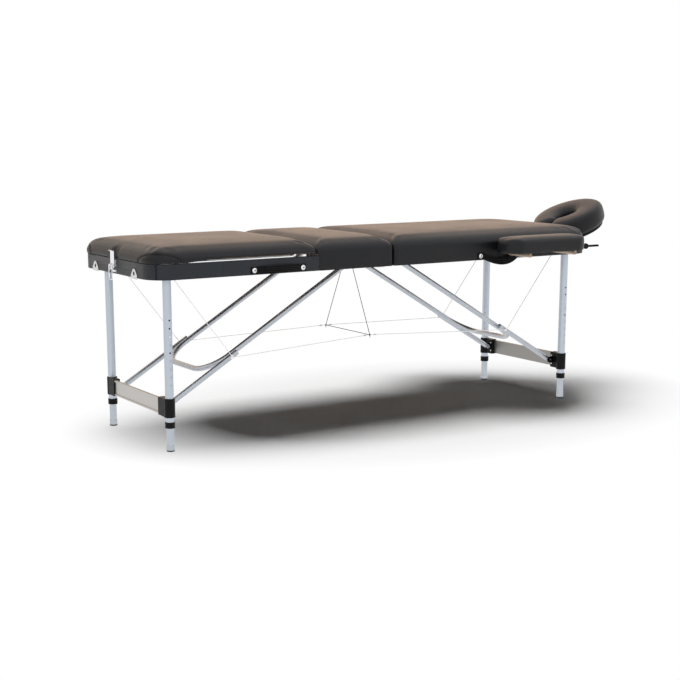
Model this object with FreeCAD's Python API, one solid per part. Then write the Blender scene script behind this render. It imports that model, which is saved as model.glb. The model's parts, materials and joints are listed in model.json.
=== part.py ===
import FreeCAD
import Part
import math
import os

from FreeCAD import Vector

# Folding massage table. Millimetres, +Z up. While it is built, X = 0 is the fold,
# Y = 0 the centre line and Z = 0 the floor. Every piece of a half is made on the +X side;
# the left half is its mirror image. The finished pieces are moved so that the origin is
# under the middle of the whole table.

# Overall sizes
TABLE_LENGTH = 1850.0
TABLE_WIDTH = 600.0
FRAME_BOTTOM = 570.0
TOP_HEIGHT = 680.0

# Clearances
FIT = 0.3
RUN = 0.05

# Frame rails and covers
RAIL_HEIGHT = 50.0
RAIL_THICKNESS = 18.0
COVER = 3.0
COVER_PANELS = 3
CORNER_BLOCKS = 2
FOLD_GAP = 3.0
CORNER_RADIUS = 85.0
SEAM_RADIUS = 6.0
DECK_THICKNESS = 6.0
DECK_INSET = 2.0

# Cushions
EDGE_DROP = 9.0
EDGE_INSET = 12.0
SHOULDER_DROP = 16.0
SHOULDER_INSET = 3.0
CREASE_DROP = 30.0
CROWN_INSET = 95.0
BACKREST_SEAM = 312.0
BACKREST_GAP = 2.0
BACKREST_HINGE_DROP = 4.0
BACKREST_LIFT = 10.0
BACKREST_BOARD = 8.0
BACKREST_TUCK = 5.0
BACKREST_TUCK_HEIGHT = 9.0
NOTCH_WIDTH = 46.0
NOTCH_DEPTH = 14.0
NOTCH_HEIGHT = 22.0

# Legs
LEG_INSET = 80.0
LEG_SIDE_INSET = 64.0
LEG_PIVOT_RISE = 16.0
LOWER_RADIUS = 12.5
TUBE_FIT = 0.1
TUBE_WALL = 1.5
UPPER_TOP = 14.0
LOWER_TOP = 405.0
FOOT_HEIGHT = 24.0
FOOT_WALL = 1.5
FOOT_STOP_GAP = 2.3
FOOT_FLOOR = 6.0
FOOT_CHAMFER = 2.0
HOLE_PITCH = 26.6
HOLE_COUNT = 9
HOLE_LOWEST = 223.0
HOLE_RADIUS = 3.0
BUTTON_STEP = 6
SHORTEST_STEPS = 2
BUTTON_PROUD = 2.5
BUTTON_TIP_GAP = 0.2
LOWER_HOLE_STEPS = (0, -2)

# Leg brackets, collars and stretcher
SLEEVE_WALL = 4.0
SLEEVE_LOW = 115.0
SLEEVE_HIGH = 178.0
COLLAR_WALL = 2.5
COLLAR_HEIGHT = 20.0
STRETCHER_LOW = 120.0
STRETCHER_HIGH = 174.0
STRETCHER_THICKNESS = 6.0
STRETCHER_OFFSET = 9.0
STRETCHER_BEAD = 3.0
STRETCHER_BEAD_HEIGHT = 6.0
CLAMP_REACH = 54.0
CLAMP_INNER = 7.0
CLAMP_OUTER = 17.0
CLAMP_SLOT = 15.0

# Fold linkage
TUBE_RADIUS = 9.5
STRUT_SIDE = 46.5
LANE_GAP = 2.0
STRUT_PIN_INSET = 22.0
STRUT_PIN_HEIGHT = 148.0
BRACE_PIVOT = 80.0
BRACE_PIVOT_RISE = 22.0
BRACE_OVERRUN = 95.0
BRACE_BEND = 100.0
BRACE_END = 12.0
STRUT_OVERRUN = 28.0
PLUG_LENGTH = 12.0
PIN_RADIUS = 4.0
PIN_HEAD_RADIUS = 6.5
PIN_HEAD = 2.0
TONGUE_THICKNESS = 8.0
TONGUE_LENGTH = 16.0
LUG_THICKNESS = 6.0
LUG_RADIUS = 12.0
MOUNT_SHEET = 3.0
MOUNT_GAP = 1.0
MOUNT_LENGTH = 40.0
LEG_MOUNT_TOP = 38.0
LEG_MOUNT_LOW = 4.0
BRACE_MOUNT_LENGTH = 36.0
BRACE_MOUNT_LOW = 12.0

# Fold hinges
HINGE_SPREAD = 200.0
HINGE_PIN_OFFSET = 9.0
HINGE_PIN_DROP = 6.0
HINGE_KNUCKLE = 6.0
HINGE_PIN_RADIUS = 3.0
HINGE_WIDTH = 40.0
HINGE_LEAF = 44.0
HINGE_SHEET = 3.0
LINK_RADIUS = 5.5
CORD_BAR_RADIUS = 2.5
CORD_BAR_END = 6.0

# Cables and cord
CABLE_RADIUS = 1.5
CABLE_BEND = 15.0
CABLE_SIDE = 30.0
CABLE_ANCHOR_INSET = 10.0
CABLE_ANCHOR_RISE = 14.0
CABLE_MIDDLE_HEIGHT = 308.0
CABLE_MIDDLE_SIDE = 150.0
CORD_RADIUS = 1.25
CORD_BEND = 4.0
KNOT_RADIUS = 4.0
ANCHOR_RADIUS = 5.0

# Carry handles
HANDLE_SPAN = 186.0
HANDLE_WIDTH = 24.0
HANDLE_THICKNESS = 3.0
HANDLE_TAB = 24.0
HANDLE_RISE = 15.0
LEFT_HANDLE_INSET = 461.0
LEFT_HANDLE_OUT = 9.0
LEFT_HANDLE_DOWN = 0.0
RIGHT_HANDLE_INSET = 450.5
RIGHT_HANDLE_OUT = 17.0
RIGHT_HANDLE_DOWN = 27.0
SCREW_RADIUS = 6.0
SCREW_DOME = 3.0

# End sockets, latch and face cradle
SOCKET_SPREAD = 160.0
SOCKET_RISE = 14.0
SOCKET_BORE = 6.5
SOCKET_RADIUS = 9.0
SOCKET_LENGTH = 45.0
FLANGE_SHEET = 2.5
FLANGE_WIDTH = 46.0
FLANGE_UP = 15.0
FLANGE_DOWN = 18.0
FLANGE_ROUND = 4.0
FLANGE_PEAK = 7.0
FLANGE_SHOULDER = 13.0
ROD_DEPTH = 43.0
CRADLE_STANDOFF = 75.0
CRADLE_BAR_RADIUS = 8.0
CRADLE_BAR_RISE = 14.0
CRADLE_BAR_OVERHANG = 20.0
CRADLE_TILT = 22.0
CRADLE_RING = 101.0
CRADLE_PAD_RADIUS = 38.0
CRADLE_PAD_SIDES = 12
CRADLE_REACH = 103.0
CRADLE_PLATE = 10.0
CRADLE_PLATE_RISE = 10.0
CRADLE_SLOT_ANGLE = 24.0
CRADLE_OPENING = 52.0
CRADLE_LOBE = 128.0
CRADLE_HOLE = 13.0
CRADLE_KNUCKLE = 14.0
CRADLE_KNUCKLE_WIDTH = 34.0
CAM_RADIUS = 11.0
CAM_WIDTH = 10.0
CAM_HANDLE = 62.0
CAM_HANDLE_HEIGHT = 8.0

# Draw latch
LATCH_WIDTH = 36.0
LATCH_SHEET = 2.0
LATCH_LOW = 6.0
LATCH_HIGH = 46.0
LATCH_PIVOT_RISE = 18.0
LATCH_PIVOT_OUT = 8.0
LATCH_PIVOT_RADIUS = 2.5
LATCH_LEVER_TOP = 76.0
LATCH_EAR = 5.0
LATCH_BARREL = 4.0
LATCH_EAR_WIDTH = 2.0
LATCH_CURL = 6.0
BAIL_WIRE = 2.0
BAIL_WIDTH = 26.0
BAIL_DROP = 48.0
BAIL_PIVOT_RISE = 30.0
BAIL_EYE = 4.0
BAIL_BEND = 7.0
CATCH_WIDTH = 32.0
CATCH_LIP = 8.0
CATCH_LOW = 10.0
CATCH_HIGH = 40.0

# Backrest prop
PROP_WIRE = 4.0
PROP_SIDE = 38.0
PROP_INSET = 145.0
PROP_LENGTH = 390.0
PROP_DROP = 6.0
PROP_FOOT_SIDE = 23.5
CLIP_LENGTH = 24.0
CLIP_WALL = 3.0
RATCHET_SHEET = 6.0
RATCHET_BACK = 4.0
RATCHET_LOWEST = 48.0
RATCHET_REACH = 113.0
RATCHET_DROP = 0.4
RATCHET_DIP = 22.0
RATCHET_DEPTH = 14.0
RATCHET_NOTCHES = 5
BUMPER_RADIUS = 6.0
BUMPER_SEAM_INSET = 33.0
BUMPER_END_INSET = 90.0

# Armrests
ARMREST_INSET = 130.0
ARMREST_LENGTH = 365.0
ARMREST_GAP = 4.0
ARMREST_REACH = 128.0
ARMREST_TOP = 85.0
ARMREST_CORNER = 32.0
ARMREST_EDGE = 10.0
ARMREST_CROWN = 40.0
ARMREST_CROWN_RISE = 6.0
DOWEL_RADIUS = 8.0
DOWEL_INSETS = (407.0, 192.0)
DOWEL_RISE = 19.0
DOWEL_DEPTH = 42.0
DOWEL_REACH = 118.0

# Derived levels and places
HALF_LENGTH = TABLE_LENGTH / 2
HALF_WIDTH = TABLE_WIDTH / 2
FRAME_TOP = FRAME_BOTTOM + RAIL_HEIGHT
DECK_TOP = FRAME_TOP + DECK_THICKNESS
INNER_END = FOLD_GAP / 2
RAIL_SIDE = HALF_WIDTH - COVER
RAIL_INSIDE = RAIL_SIDE - RAIL_THICKNESS
RAIL_END = HALF_LENGTH - COVER
RAIL_START = INNER_END + COVER
LEG_X = HALF_LENGTH - LEG_INSET
LEG_Y = HALF_WIDTH - LEG_SIDE_INSET
LEG_PIVOT_Z = FRAME_BOTTOM + LEG_PIVOT_RISE
STRUT_Y = LEG_Y - STRUT_SIDE
BRACE_Y = STRUT_Y - 2 * TUBE_RADIUS - LANE_GAP
STRUT_PIN_X = LEG_X - STRUT_PIN_INSET
BRACE_PIVOT_Z = FRAME_BOTTOM + BRACE_PIVOT_RISE
HINGE_PIN_Z = FRAME_BOTTOM - HINGE_PIN_DROP
LINK_INSIDE = HINGE_WIDTH / 2 + FIT
LINK_OUTSIDE = LINK_INSIDE + HINGE_SHEET
CORD_LOOP_SIDE = LINK_OUTSIDE + CORD_BAR_END / 2
SOCKET_Z = FRAME_BOTTOM + SOCKET_RISE
CABLE_Y = LEG_Y - CABLE_SIDE
BOARD_BOTTOM = FRAME_TOP + BACKREST_LIFT
BOARD_TOP = BOARD_BOTTOM + BACKREST_BOARD
BACKREST_HINGE_Z = TOP_HEIGHT - BACKREST_HINGE_DROP
PROP_Z = BOARD_BOTTOM - PROP_DROP
PROP_Y = HALF_WIDTH - PROP_SIDE
DOWEL_Z = FRAME_BOTTOM + DOWEL_RISE
CRADLE_BAR_Z = FRAME_BOTTOM + CRADLE_BAR_RISE
BUTTON_Z = HOLE_LOWEST + BUTTON_STEP * HOLE_PITCH
UPPER_BORE = LOWER_RADIUS + TUBE_FIT
UPPER_RADIUS = UPPER_BORE + TUBE_WALL
UPPER_END = FOOT_HEIGHT + SHORTEST_STEPS * HOLE_PITCH + FOOT_STOP_GAP
FOOT_RADIUS = LOWER_RADIUS + FOOT_WALL
SLEEVE_RADIUS = UPPER_RADIUS + SLEEVE_WALL
COLLAR_RADIUS = UPPER_RADIUS + COLLAR_WALL
ROD_RADIUS = SOCKET_BORE - TUBE_FIT
LEFT_HANDLE_MIDDLE = HALF_LENGTH - LEFT_HANDLE_INSET
RIGHT_HANDLE_MIDDLE = HALF_LENGTH - RIGHT_HANDLE_INSET
CRADLE_BAR = HALF_LENGTH + CRADLE_STANDOFF
PROP_PIVOT = HALF_LENGTH - PROP_INSET
PROP_FOOT = PROP_PIVOT - PROP_LENGTH
BUMPER_PLACES = (BACKREST_SEAM + BUMPER_SEAM_INSET, HALF_LENGTH - BUMPER_END_INSET)
ARMREST_END = HALF_LENGTH - ARMREST_INSET
ARMREST_START = ARMREST_END - ARMREST_LENGTH
DOWEL_PLACES = tuple(HALF_LENGTH - inset for inset in DOWEL_INSETS)

ORIGIN = Vector(0, 0, 0)
X_AXIS = Vector(1, 0, 0)
Y_AXIS = Vector(0, 1, 0)
Z_AXIS = Vector(0, 0, 1)


def linkage():
    """Lengths of brace and strut, and the knuckle, that let the legs fold flat."""
    run = STRUT_PIN_X - BRACE_PIVOT
    fall = BRACE_PIVOT_Z - STRUT_PIN_HEIGHT
    span = math.hypot(run, fall)
    leg_length = LEG_PIVOT_Z - STRUT_PIN_HEIGHT
    stowed_x = LEG_X - leg_length
    stowed_z = LEG_PIVOT_Z + STRUT_PIN_INSET
    reach = stowed_x - BRACE_PIVOT
    rise = stowed_z - BRACE_PIVOT_Z
    brace = (span ** 2 - reach ** 2 - rise ** 2) / (2 * (span - reach))
    knuckle_x = BRACE_PIVOT + brace * run / span
    knuckle_z = BRACE_PIVOT_Z - brace * fall / span
    return {
        "brace": brace,
        "strut": span - brace,
        "knuckle": Vector(knuckle_x, 0, knuckle_z),
        "along": Vector(run / span, 0, -fall / span),
        "brace_turn": math.degrees(math.atan2(fall, run)),
        "strut_turn": strut_turn(brace, span - brace, run, fall, reach, rise),
    }


def strut_turn(brace, strut, run, fall, reach, rise):
    """Turn of the strut on its leg, in degrees, while the leg folds through 90."""
    standing = math.degrees(math.atan2(fall, -run))
    stowed = math.degrees(math.atan2(-rise, brace - reach))
    return standing - stowed - 90.0


LINKAGE = linkage()


def box(x_low, x_high, y_low, y_high, z_low, z_high):
    size = (x_high - x_low, y_high - y_low, z_high - z_low)
    return Part.makeBox(*size, Vector(x_low, y_low, z_low))


def rod(start, end, radius):
    way = end - start
    return Part.makeCylinder(radius, way.Length, start, way)


def rod_y(x, z, y_low, y_high, radius):
    return rod(Vector(x, y_low, z), Vector(x, y_high, z), radius)


def rod_x(y, z, x_low, x_high, radius):
    return rod(Vector(x_low, y, z), Vector(x_high, y, z), radius)


def rod_z(x, y, z_low, z_high, radius):
    return rod(Vector(x, y, z_low), Vector(x, y, z_high), radius)


def mirror_x(solid):
    return solid.mirror(ORIGIN, X_AXIS)


def mirror_y(solid):
    return solid.mirror(ORIGIN, Y_AXIS)


def both_sides(solid):
    """The far-side solid and its near-side mirror image."""
    return [solid, mirror_y(solid)]


def outline(start, end, half_width, outer_radius, inner_radius, z, inset=0.0):
    """Closed outline in plan, round at its outer and inner corners, drawn in by inset."""
    low = start + inset
    high = end - inset
    side = half_width - inset
    outer = max(outer_radius - inset, SEAM_RADIUS)
    inner = inner_radius

    def corner(x, y, radius, from_angle):
        steps = (from_angle, from_angle + 45, from_angle + 90)
        points = []
        for angle in steps:
            turn = math.radians(angle)
            points.append(Vector(x + radius * math.cos(turn), y + radius * math.sin(turn), z))
        return points

    corners = [
        corner(high - outer, -side + outer, outer, -90),
        corner(high - outer, side - outer, outer, 0),
        corner(low + inner, side - inner, inner, 90),
        corner(low + inner, -side + inner, inner, 180),
    ]
    edges = []
    for index, points in enumerate(corners):
        following = corners[(index + 1) % len(corners)]
        edges.append(Part.Arc(*points).toShape())
        edges.append(Part.LineSegment(points[2], following[0]).toShape())
    return Part.Wire(edges)


def slab(start, end, half_width, outer_radius, inner_radius, z_low, z_high):
    face = Part.Face(outline(start, end, half_width, outer_radius, inner_radius, z_low))
    return face.extrude(Vector(0, 0, z_high - z_low))


def cushion(start, end, half_width, outer_radius, inner_radius, levels):
    """Crowned pad lofted through outlines; levels are pairs of height and inset."""
    wires = []
    for z, inset in levels:
        wires.append(outline(start, end, half_width, outer_radius, inner_radius, z, inset))
    return Part.makeLoft(wires, True, True)


def top_levels():
    """Heights and insets of a pad's upper edge and crown."""
    return [
        (TOP_HEIGHT - CREASE_DROP, 0.0),
        (TOP_HEIGHT - SHOULDER_DROP, SHOULDER_INSET),
        (TOP_HEIGHT - EDGE_DROP, EDGE_INSET),
        (TOP_HEIGHT, CROWN_INSET),
    ]


def disc(centre, way, radius, bore):
    """Round face square to way, open at the bore if there is one."""
    face = Part.Face(Part.Wire(Part.makeCircle(radius, centre, way)))
    if bore:
        face = face.cut(Part.Face(Part.Wire(Part.makeCircle(bore, centre, way))))
    return face


def round_bar(points, bend, radius, bore=0.0):
    """Round bar, or tube where there is a bore, in straight runs joined by tangent arcs."""
    solids = []
    start = points[0]
    for before, point, after in zip(points, points[1:], points[2:]):
        back = (before - point).normalize()
        ahead = (after - point).normalize()
        half = back.getAngle(ahead) / 2
        trim = bend / math.tan(half)
        entry = point + back * trim
        centre = point + (back + ahead).normalize() * (bend / math.sin(half))
        axis = ahead.cross(back)
        turn = 180 - 2 * math.degrees(half)
        solids.append(disc(start, back, radius, bore).extrude(entry - start))
        solids.append(disc(entry, back, radius, bore).revolve(centre, axis, turn))
        start = point + ahead * trim
    last = points[-1] - start
    solids.append(disc(start, last, radius, bore).extrude(last))
    return solids[0].fuse(solids[1:]).removeSplitter()


def corner_sector(part, parts, z_low, z_high):
    """Wedge about the centre of the far outer corner, one of equal parts of the turn."""
    centre = Vector(HALF_LENGTH - CORNER_RADIUS, HALF_WIDTH - CORNER_RADIUS, z_low)
    points = [centre]
    for step in (part, part + 1):
        turn = math.pi / 2 * step / parts
        points.append(centre + Vector(math.cos(turn), math.sin(turn), 0) * (2 * CORNER_RADIUS))
    return Part.Face(Part.makePolygon(points + points[:1])).extrude(Vector(0, 0, z_high - z_low))


def end_pieces(band, parts, z_low, z_high):
    """Cuts a band round the outer end into its straight run and the parts of its corners."""
    split = HALF_LENGTH - CORNER_RADIUS
    side = HALF_WIDTH - CORNER_RADIUS
    pieces = [band.common(box(split, HALF_LENGTH, -side, side, z_low, z_high))]
    for part in range(parts):
        pieces += both_sides(band.common(corner_sector(part, parts, z_low, z_high)))
    return pieces


def rail_cavity():
    """Space inside the rails of one half."""
    return slab(
        RAIL_START + RAIL_THICKNESS,
        RAIL_END - RAIL_THICKNESS,
        RAIL_INSIDE,
        CORNER_RADIUS - COVER - RAIL_THICKNESS,
        SEAM_RADIUS,
        FRAME_BOTTOM,
        FRAME_TOP,
    )


def rail_solids(sleeve_holes):
    """Side rails, end rail with its corner blocks, and centre rail of one half."""
    radius = CORNER_RADIUS - COVER
    split = RAIL_END - radius
    outer = slab(RAIL_START, RAIL_END, RAIL_SIDE, radius, SEAM_RADIUS, FRAME_BOTTOM, FRAME_TOP)
    band = outer.cut(rail_cavity())
    for side in (-SOCKET_SPREAD, SOCKET_SPREAD):
        band = band.cut(rod_x(side, SOCKET_Z, split, HALF_LENGTH, SOCKET_RADIUS))
    end_rail = end_pieces(band, CORNER_BLOCKS, FRAME_BOTTOM, FRAME_TOP)
    start = RAIL_START + RAIL_THICKNESS
    side_rail = box(start, split, RAIL_INSIDE, RAIL_SIDE, FRAME_BOTTOM, FRAME_TOP)
    if sleeve_holes:
        for place in DOWEL_PLACES:
            side_rail = side_rail.cut(rod_y(place, DOWEL_Z, 0, HALF_WIDTH, DOWEL_RADIUS + TUBE_FIT))
    centre_rail = box(RAIL_START, start, -RAIL_SIDE, RAIL_SIDE, FRAME_BOTTOM, FRAME_TOP).common(outer)
    return both_sides(side_rail) + end_rail + [centre_rail]


def deck(end, outer_radius):
    """Plywood deck on the rails, a little inside the cover."""
    return slab(
        RAIL_START + DECK_INSET,
        end,
        RAIL_SIDE - DECK_INSET,
        outer_radius,
        SEAM_RADIUS,
        FRAME_TOP,
        DECK_TOP,
    )


def covered_pad(end, outer_radius):
    """Cushion on a deck, with its cover drawn down over the rails."""
    levels = [(DECK_TOP, 0.0)] + top_levels()
    pad = cushion(INNER_END, end, HALF_WIDTH, outer_radius, SEAM_RADIUS, levels)
    outside = slab(INNER_END, end, HALF_WIDTH, outer_radius, SEAM_RADIUS, FRAME_BOTTOM, DECK_TOP)
    return pad, outside


def side_panels(skirt, end):
    """Panels of a cover along the fold and along both sides, as far as end."""
    fold = skirt.common(box(0, RAIL_START, -HALF_WIDTH, HALF_WIDTH, FRAME_BOTTOM, DECK_TOP))
    far = skirt.common(box(RAIL_START, end, 0, HALF_WIDTH, FRAME_BOTTOM, DECK_TOP))
    return [fold] + both_sides(far)


def right_pad():
    """Cushion of the right half and the cover's panels over its rails."""
    pad, outside = covered_pad(HALF_LENGTH, CORNER_RADIUS)
    hollow = slab(
        RAIL_START,
        RAIL_END,
        RAIL_SIDE,
        CORNER_RADIUS - COVER,
        SEAM_RADIUS,
        FRAME_BOTTOM,
        DECK_TOP,
    )
    skirt = outside.cut(hollow)
    for place in DOWEL_PLACES:
        hole = rod_y(place, DOWEL_Z, -HALF_WIDTH, HALF_WIDTH, DOWEL_RADIUS + TUBE_FIT)
        skirt = skirt.cut(hole)
    for side in (-SOCKET_SPREAD, SOCKET_SPREAD):
        skirt = skirt.cut(rod_x(side, SOCKET_Z, RAIL_END, HALF_LENGTH, SOCKET_RADIUS))
    end_panels = end_pieces(skirt, COVER_PANELS, FRAME_BOTTOM, DECK_TOP)
    return [pad] + side_panels(skirt, HALF_LENGTH - CORNER_RADIUS) + end_panels


def middle_pad():
    """Cushion beside the fold and the cover's panels over its rails."""
    pad, outside = covered_pad(BACKREST_SEAM, SEAM_RADIUS)
    hollow = box(RAIL_START, BACKREST_SEAM, -RAIL_SIDE, RAIL_SIDE, FRAME_BOTTOM, DECK_TOP)
    return [pad] + side_panels(outside.cut(hollow), BACKREST_SEAM)


def latch_notch():
    start = HALF_LENGTH - NOTCH_DEPTH
    half = NOTCH_WIDTH / 2
    return box(start, HALF_LENGTH, -half, half, FRAME_TOP, BOARD_TOP + NOTCH_HEIGHT)


def backrest_board():
    board = slab(
        BACKREST_SEAM + BACKREST_GAP + BACKREST_TUCK,
        HALF_LENGTH - BACKREST_TUCK,
        HALF_WIDTH - BACKREST_TUCK,
        CORNER_RADIUS - BACKREST_TUCK,
        SEAM_RADIUS,
        BOARD_BOTTOM,
        BOARD_TOP,
    )
    return board.cut(latch_notch())


def backrest_pad():
    levels = [(BOARD_TOP, BACKREST_TUCK), (BOARD_TOP + BACKREST_TUCK_HEIGHT, 0.0)]
    levels += top_levels()
    start = BACKREST_SEAM + BACKREST_GAP
    pad = cushion(start, HALF_LENGTH, HALF_WIDTH, CORNER_RADIUS, SEAM_RADIUS, levels)
    return pad.cut(latch_notch())


def leg_mount():
    """Channel on the side rail that holds a leg's pivot, with the cable's eye."""
    low = FRAME_BOTTOM + LEG_MOUNT_LOW
    high = FRAME_BOTTOM + LEG_MOUNT_TOP
    start = LEG_X - MOUNT_LENGTH / 2
    end = LEG_X + MOUNT_LENGTH / 2
    half = UPPER_RADIUS + MOUNT_GAP
    inner = box(start, end, LEG_Y - half - MOUNT_SHEET, LEG_Y - half, low, high)
    outer = box(start, end, LEG_Y + half, LEG_Y + half + MOUNT_SHEET, low, high)
    roof = box(start, end, LEG_Y - half - MOUNT_SHEET, RAIL_INSIDE, high, high + MOUNT_SHEET)
    mount = inner.fuse([outer, roof]).common(rail_cavity()).removeSplitter()
    bore = rod_y(LEG_X, LEG_PIVOT_Z, LEG_Y - LEG_SIDE_INSET, RAIL_INSIDE, PIN_RADIUS)
    anchor_x = LEG_X - CABLE_ANCHOR_INSET
    anchor_z = LEG_PIVOT_Z + CABLE_ANCHOR_RISE
    eye_end = LEG_Y - half - MOUNT_SHEET
    eye_start = CABLE_Y + CABLE_RADIUS + FIT
    eye = rod_y(anchor_x, anchor_z, eye_start, eye_end, ANCHOR_RADIUS)
    return mount.cut(bore).fuse(eye).removeSplitter()


def leg_pin():
    reach = UPPER_RADIUS + MOUNT_GAP + MOUNT_SHEET + PIN_HEAD
    return rod_y(LEG_X, LEG_PIVOT_Z, LEG_Y - reach, LEG_Y + reach, PIN_RADIUS)


def brace_mount():
    """Channel under the deck that holds the brace's pivot."""
    low = FRAME_BOTTOM + BRACE_MOUNT_LOW
    start = BRACE_PIVOT - BRACE_MOUNT_LENGTH / 2
    end = BRACE_PIVOT + BRACE_MOUNT_LENGTH / 2
    half = TUBE_RADIUS + MOUNT_GAP
    outside = half + MOUNT_SHEET
    shell = box(start, end, BRACE_Y - outside, BRACE_Y + outside, low, FRAME_TOP)
    hollow = box(start, end, BRACE_Y - half, BRACE_Y + half, low, FRAME_TOP - MOUNT_SHEET)
    bore = rod_y(BRACE_PIVOT, BRACE_PIVOT_Z, 0, HALF_WIDTH, PIN_RADIUS)
    return shell.cut(hollow).cut(bore)


def brace_pin():
    reach = TUBE_RADIUS + MOUNT_GAP + MOUNT_SHEET + PIN_HEAD
    return rod_y(BRACE_PIVOT, BRACE_PIVOT_Z, BRACE_Y - reach, BRACE_Y + reach, PIN_RADIUS)


def handle_middle(is_left):
    return LEFT_HANDLE_MIDDLE if is_left else RIGHT_HANDLE_MIDDLE


def handle_face(is_left):
    return RAIL_SIDE if is_left else HALF_WIDTH


def handle_screws(is_left):
    """Dome-headed screws on the tabs of a carry handle, near side."""
    z = FRAME_BOTTOM + HANDLE_RISE
    base = -handle_face(is_left) - HANDLE_THICKNESS
    ball = (SCREW_RADIUS ** 2 + SCREW_DOME ** 2) / (2 * SCREW_DOME)
    screws = []
    for way in (-1, 1):
        x = handle_middle(is_left) + way * HANDLE_SPAN / 2
        dome = Part.makeSphere(ball, Vector(x, base - SCREW_DOME + ball, z))
        keep = rod_y(x, z, base - SCREW_DOME, base, ball)
        screws.append(dome.common(keep))
    return screws


def carry_handle(is_left):
    """Webbing loop with a flat tab at each end, on the near side."""
    out = LEFT_HANDLE_OUT if is_left else RIGHT_HANDLE_OUT
    down = LEFT_HANDLE_DOWN if is_left else RIGHT_HANDLE_DOWN
    middle = handle_middle(is_left)
    face = -handle_face(is_left)
    z = FRAME_BOTTOM + HANDLE_RISE
    half_tab = HANDLE_TAB / 2
    half_width = HANDLE_WIDTH / 2
    half_span = HANDLE_SPAN / 2
    tabs = []
    for way in (-1, 1):
        x = middle + way * half_span
        tab = box(x - half_tab, x + half_tab, face - HANDLE_THICKNESS, face, z - half_width, z + half_width)
        tabs.append(tab)
    base = face - HANDLE_THICKNESS / 2
    reach = half_span - half_tab + HANDLE_THICKNESS
    start = Vector(middle - reach, base, z)
    crest = Vector(middle, base - out, z - down)
    end = Vector(middle + reach, base, z)
    path = Part.Arc(start, crest, end)
    band = webbing(path, start)
    return tabs[0].fuse([tabs[1], band]).removeSplitter()


def webbing(path, start):
    """Flat strap, on edge all along its path."""
    along = path.tangent(path.FirstParameter)[0]
    across = Z_AXIS.cross(Vector(along.x, along.y, 0)).normalize() * (HANDLE_THICKNESS / 2)
    up = Z_AXIS * (HANDLE_WIDTH / 2)
    corners = [start + across + up, start - across + up, start - across - up, start + across - up]
    sweep = Part.BRepOffsetAPI.MakePipeShell(Part.Wire(path.toShape()))
    sweep.setBiNormalMode(Z_AXIS)
    sweep.add(Part.makePolygon(corners + corners[:1]))
    sweep.build()
    sweep.makeSolid()
    return sweep.shape()


def socket_flange(face):
    """Peaked flange of a rod socket, seen from the table's end."""
    half = FLANGE_WIDTH / 2
    top = SOCKET_Z + FLANGE_UP
    low = SOCKET_Z - FLANGE_DOWN
    shoulder = low + FLANGE_SHOULDER
    points = [
        Vector(face, -half, low),
        Vector(face, half, low),
        Vector(face, half, shoulder),
        Vector(face, FLANGE_PEAK, top),
        Vector(face, -FLANGE_PEAK, top),
        Vector(face, -half, shoulder),
    ]
    plate = Part.Face(Part.makePolygon(points + points[:1])).extrude(Vector(FLANGE_SHEET, 0, 0))
    upright = [edge for edge in plate.Edges if abs(edge.tangentAt(edge.FirstParameter).x) > 0.9]
    return plate.makeFillet(FLANGE_ROUND, upright)


def rod_socket(face):
    """Flanged sleeve through the end rail that takes a face-cradle rod."""
    end = face + FLANGE_SHEET
    barrel = rod_x(0, SOCKET_Z, face - SOCKET_LENGTH + FLANGE_SHEET, face, SOCKET_RADIUS)
    socket = barrel.fuse(socket_flange(face)).removeSplitter()
    socket = socket.cut(rod_x(0, SOCKET_Z, 0, end, SOCKET_BORE))
    socket.translate(Vector(0, SOCKET_SPREAD, 0))
    return socket


def hinge_leaf(y):
    """Leaf under a centre rail, with the knuckle round its own pin."""
    half = HINGE_WIDTH / 2
    sheet = box(HINGE_PIN_OFFSET, HINGE_LEAF, y - half, y + half, FRAME_BOTTOM - HINGE_SHEET, FRAME_BOTTOM)
    knuckle = rod_y(HINGE_PIN_OFFSET, HINGE_PIN_Z, y - half, y + half, HINGE_KNUCKLE)
    bore = rod_y(HINGE_PIN_OFFSET, HINGE_PIN_Z, y - half, y + half, HINGE_PIN_RADIUS + RUN)
    return sheet.fuse(knuckle).cut(bore).removeSplitter()


def hinge_places():
    return (-HINGE_SPREAD, 0.0, HINGE_SPREAD)


def fold_links():
    """Link plates and pins that join the two halves' leaves, and the bar for the cord."""
    bar_end = LINK_OUTSIDE + CORD_BAR_END
    bar = rod_y(0, HINGE_PIN_Z, -bar_end, bar_end, CORD_BAR_RADIUS)
    pieces = [bar]
    for y in hinge_places():
        sides = ((y - LINK_OUTSIDE, y - LINK_INSIDE), (y + LINK_INSIDE, y + LINK_OUTSIDE))
        for low, high in sides:
            ends = []
            for x in (-HINGE_PIN_OFFSET, HINGE_PIN_OFFSET):
                ends.append(rod_y(x, HINGE_PIN_Z, low, high, LINK_RADIUS))
            web = box(
                -HINGE_PIN_OFFSET,
                HINGE_PIN_OFFSET,
                low,
                high,
                HINGE_PIN_Z - LINK_RADIUS,
                HINGE_PIN_Z + LINK_RADIUS,
            )
            plate = web.fuse(ends).removeSplitter().cut(bar)
            for x in (-HINGE_PIN_OFFSET, HINGE_PIN_OFFSET):
                plate = plate.cut(rod_y(x, HINGE_PIN_Z, low, high, HINGE_PIN_RADIUS))
            pieces.append(plate)
        for x in (-HINGE_PIN_OFFSET, HINGE_PIN_OFFSET):
            pieces.append(rod_y(x, HINGE_PIN_Z, y - LINK_OUTSIDE, y + LINK_OUTSIDE, HINGE_PIN_RADIUS))
    return pieces


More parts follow.
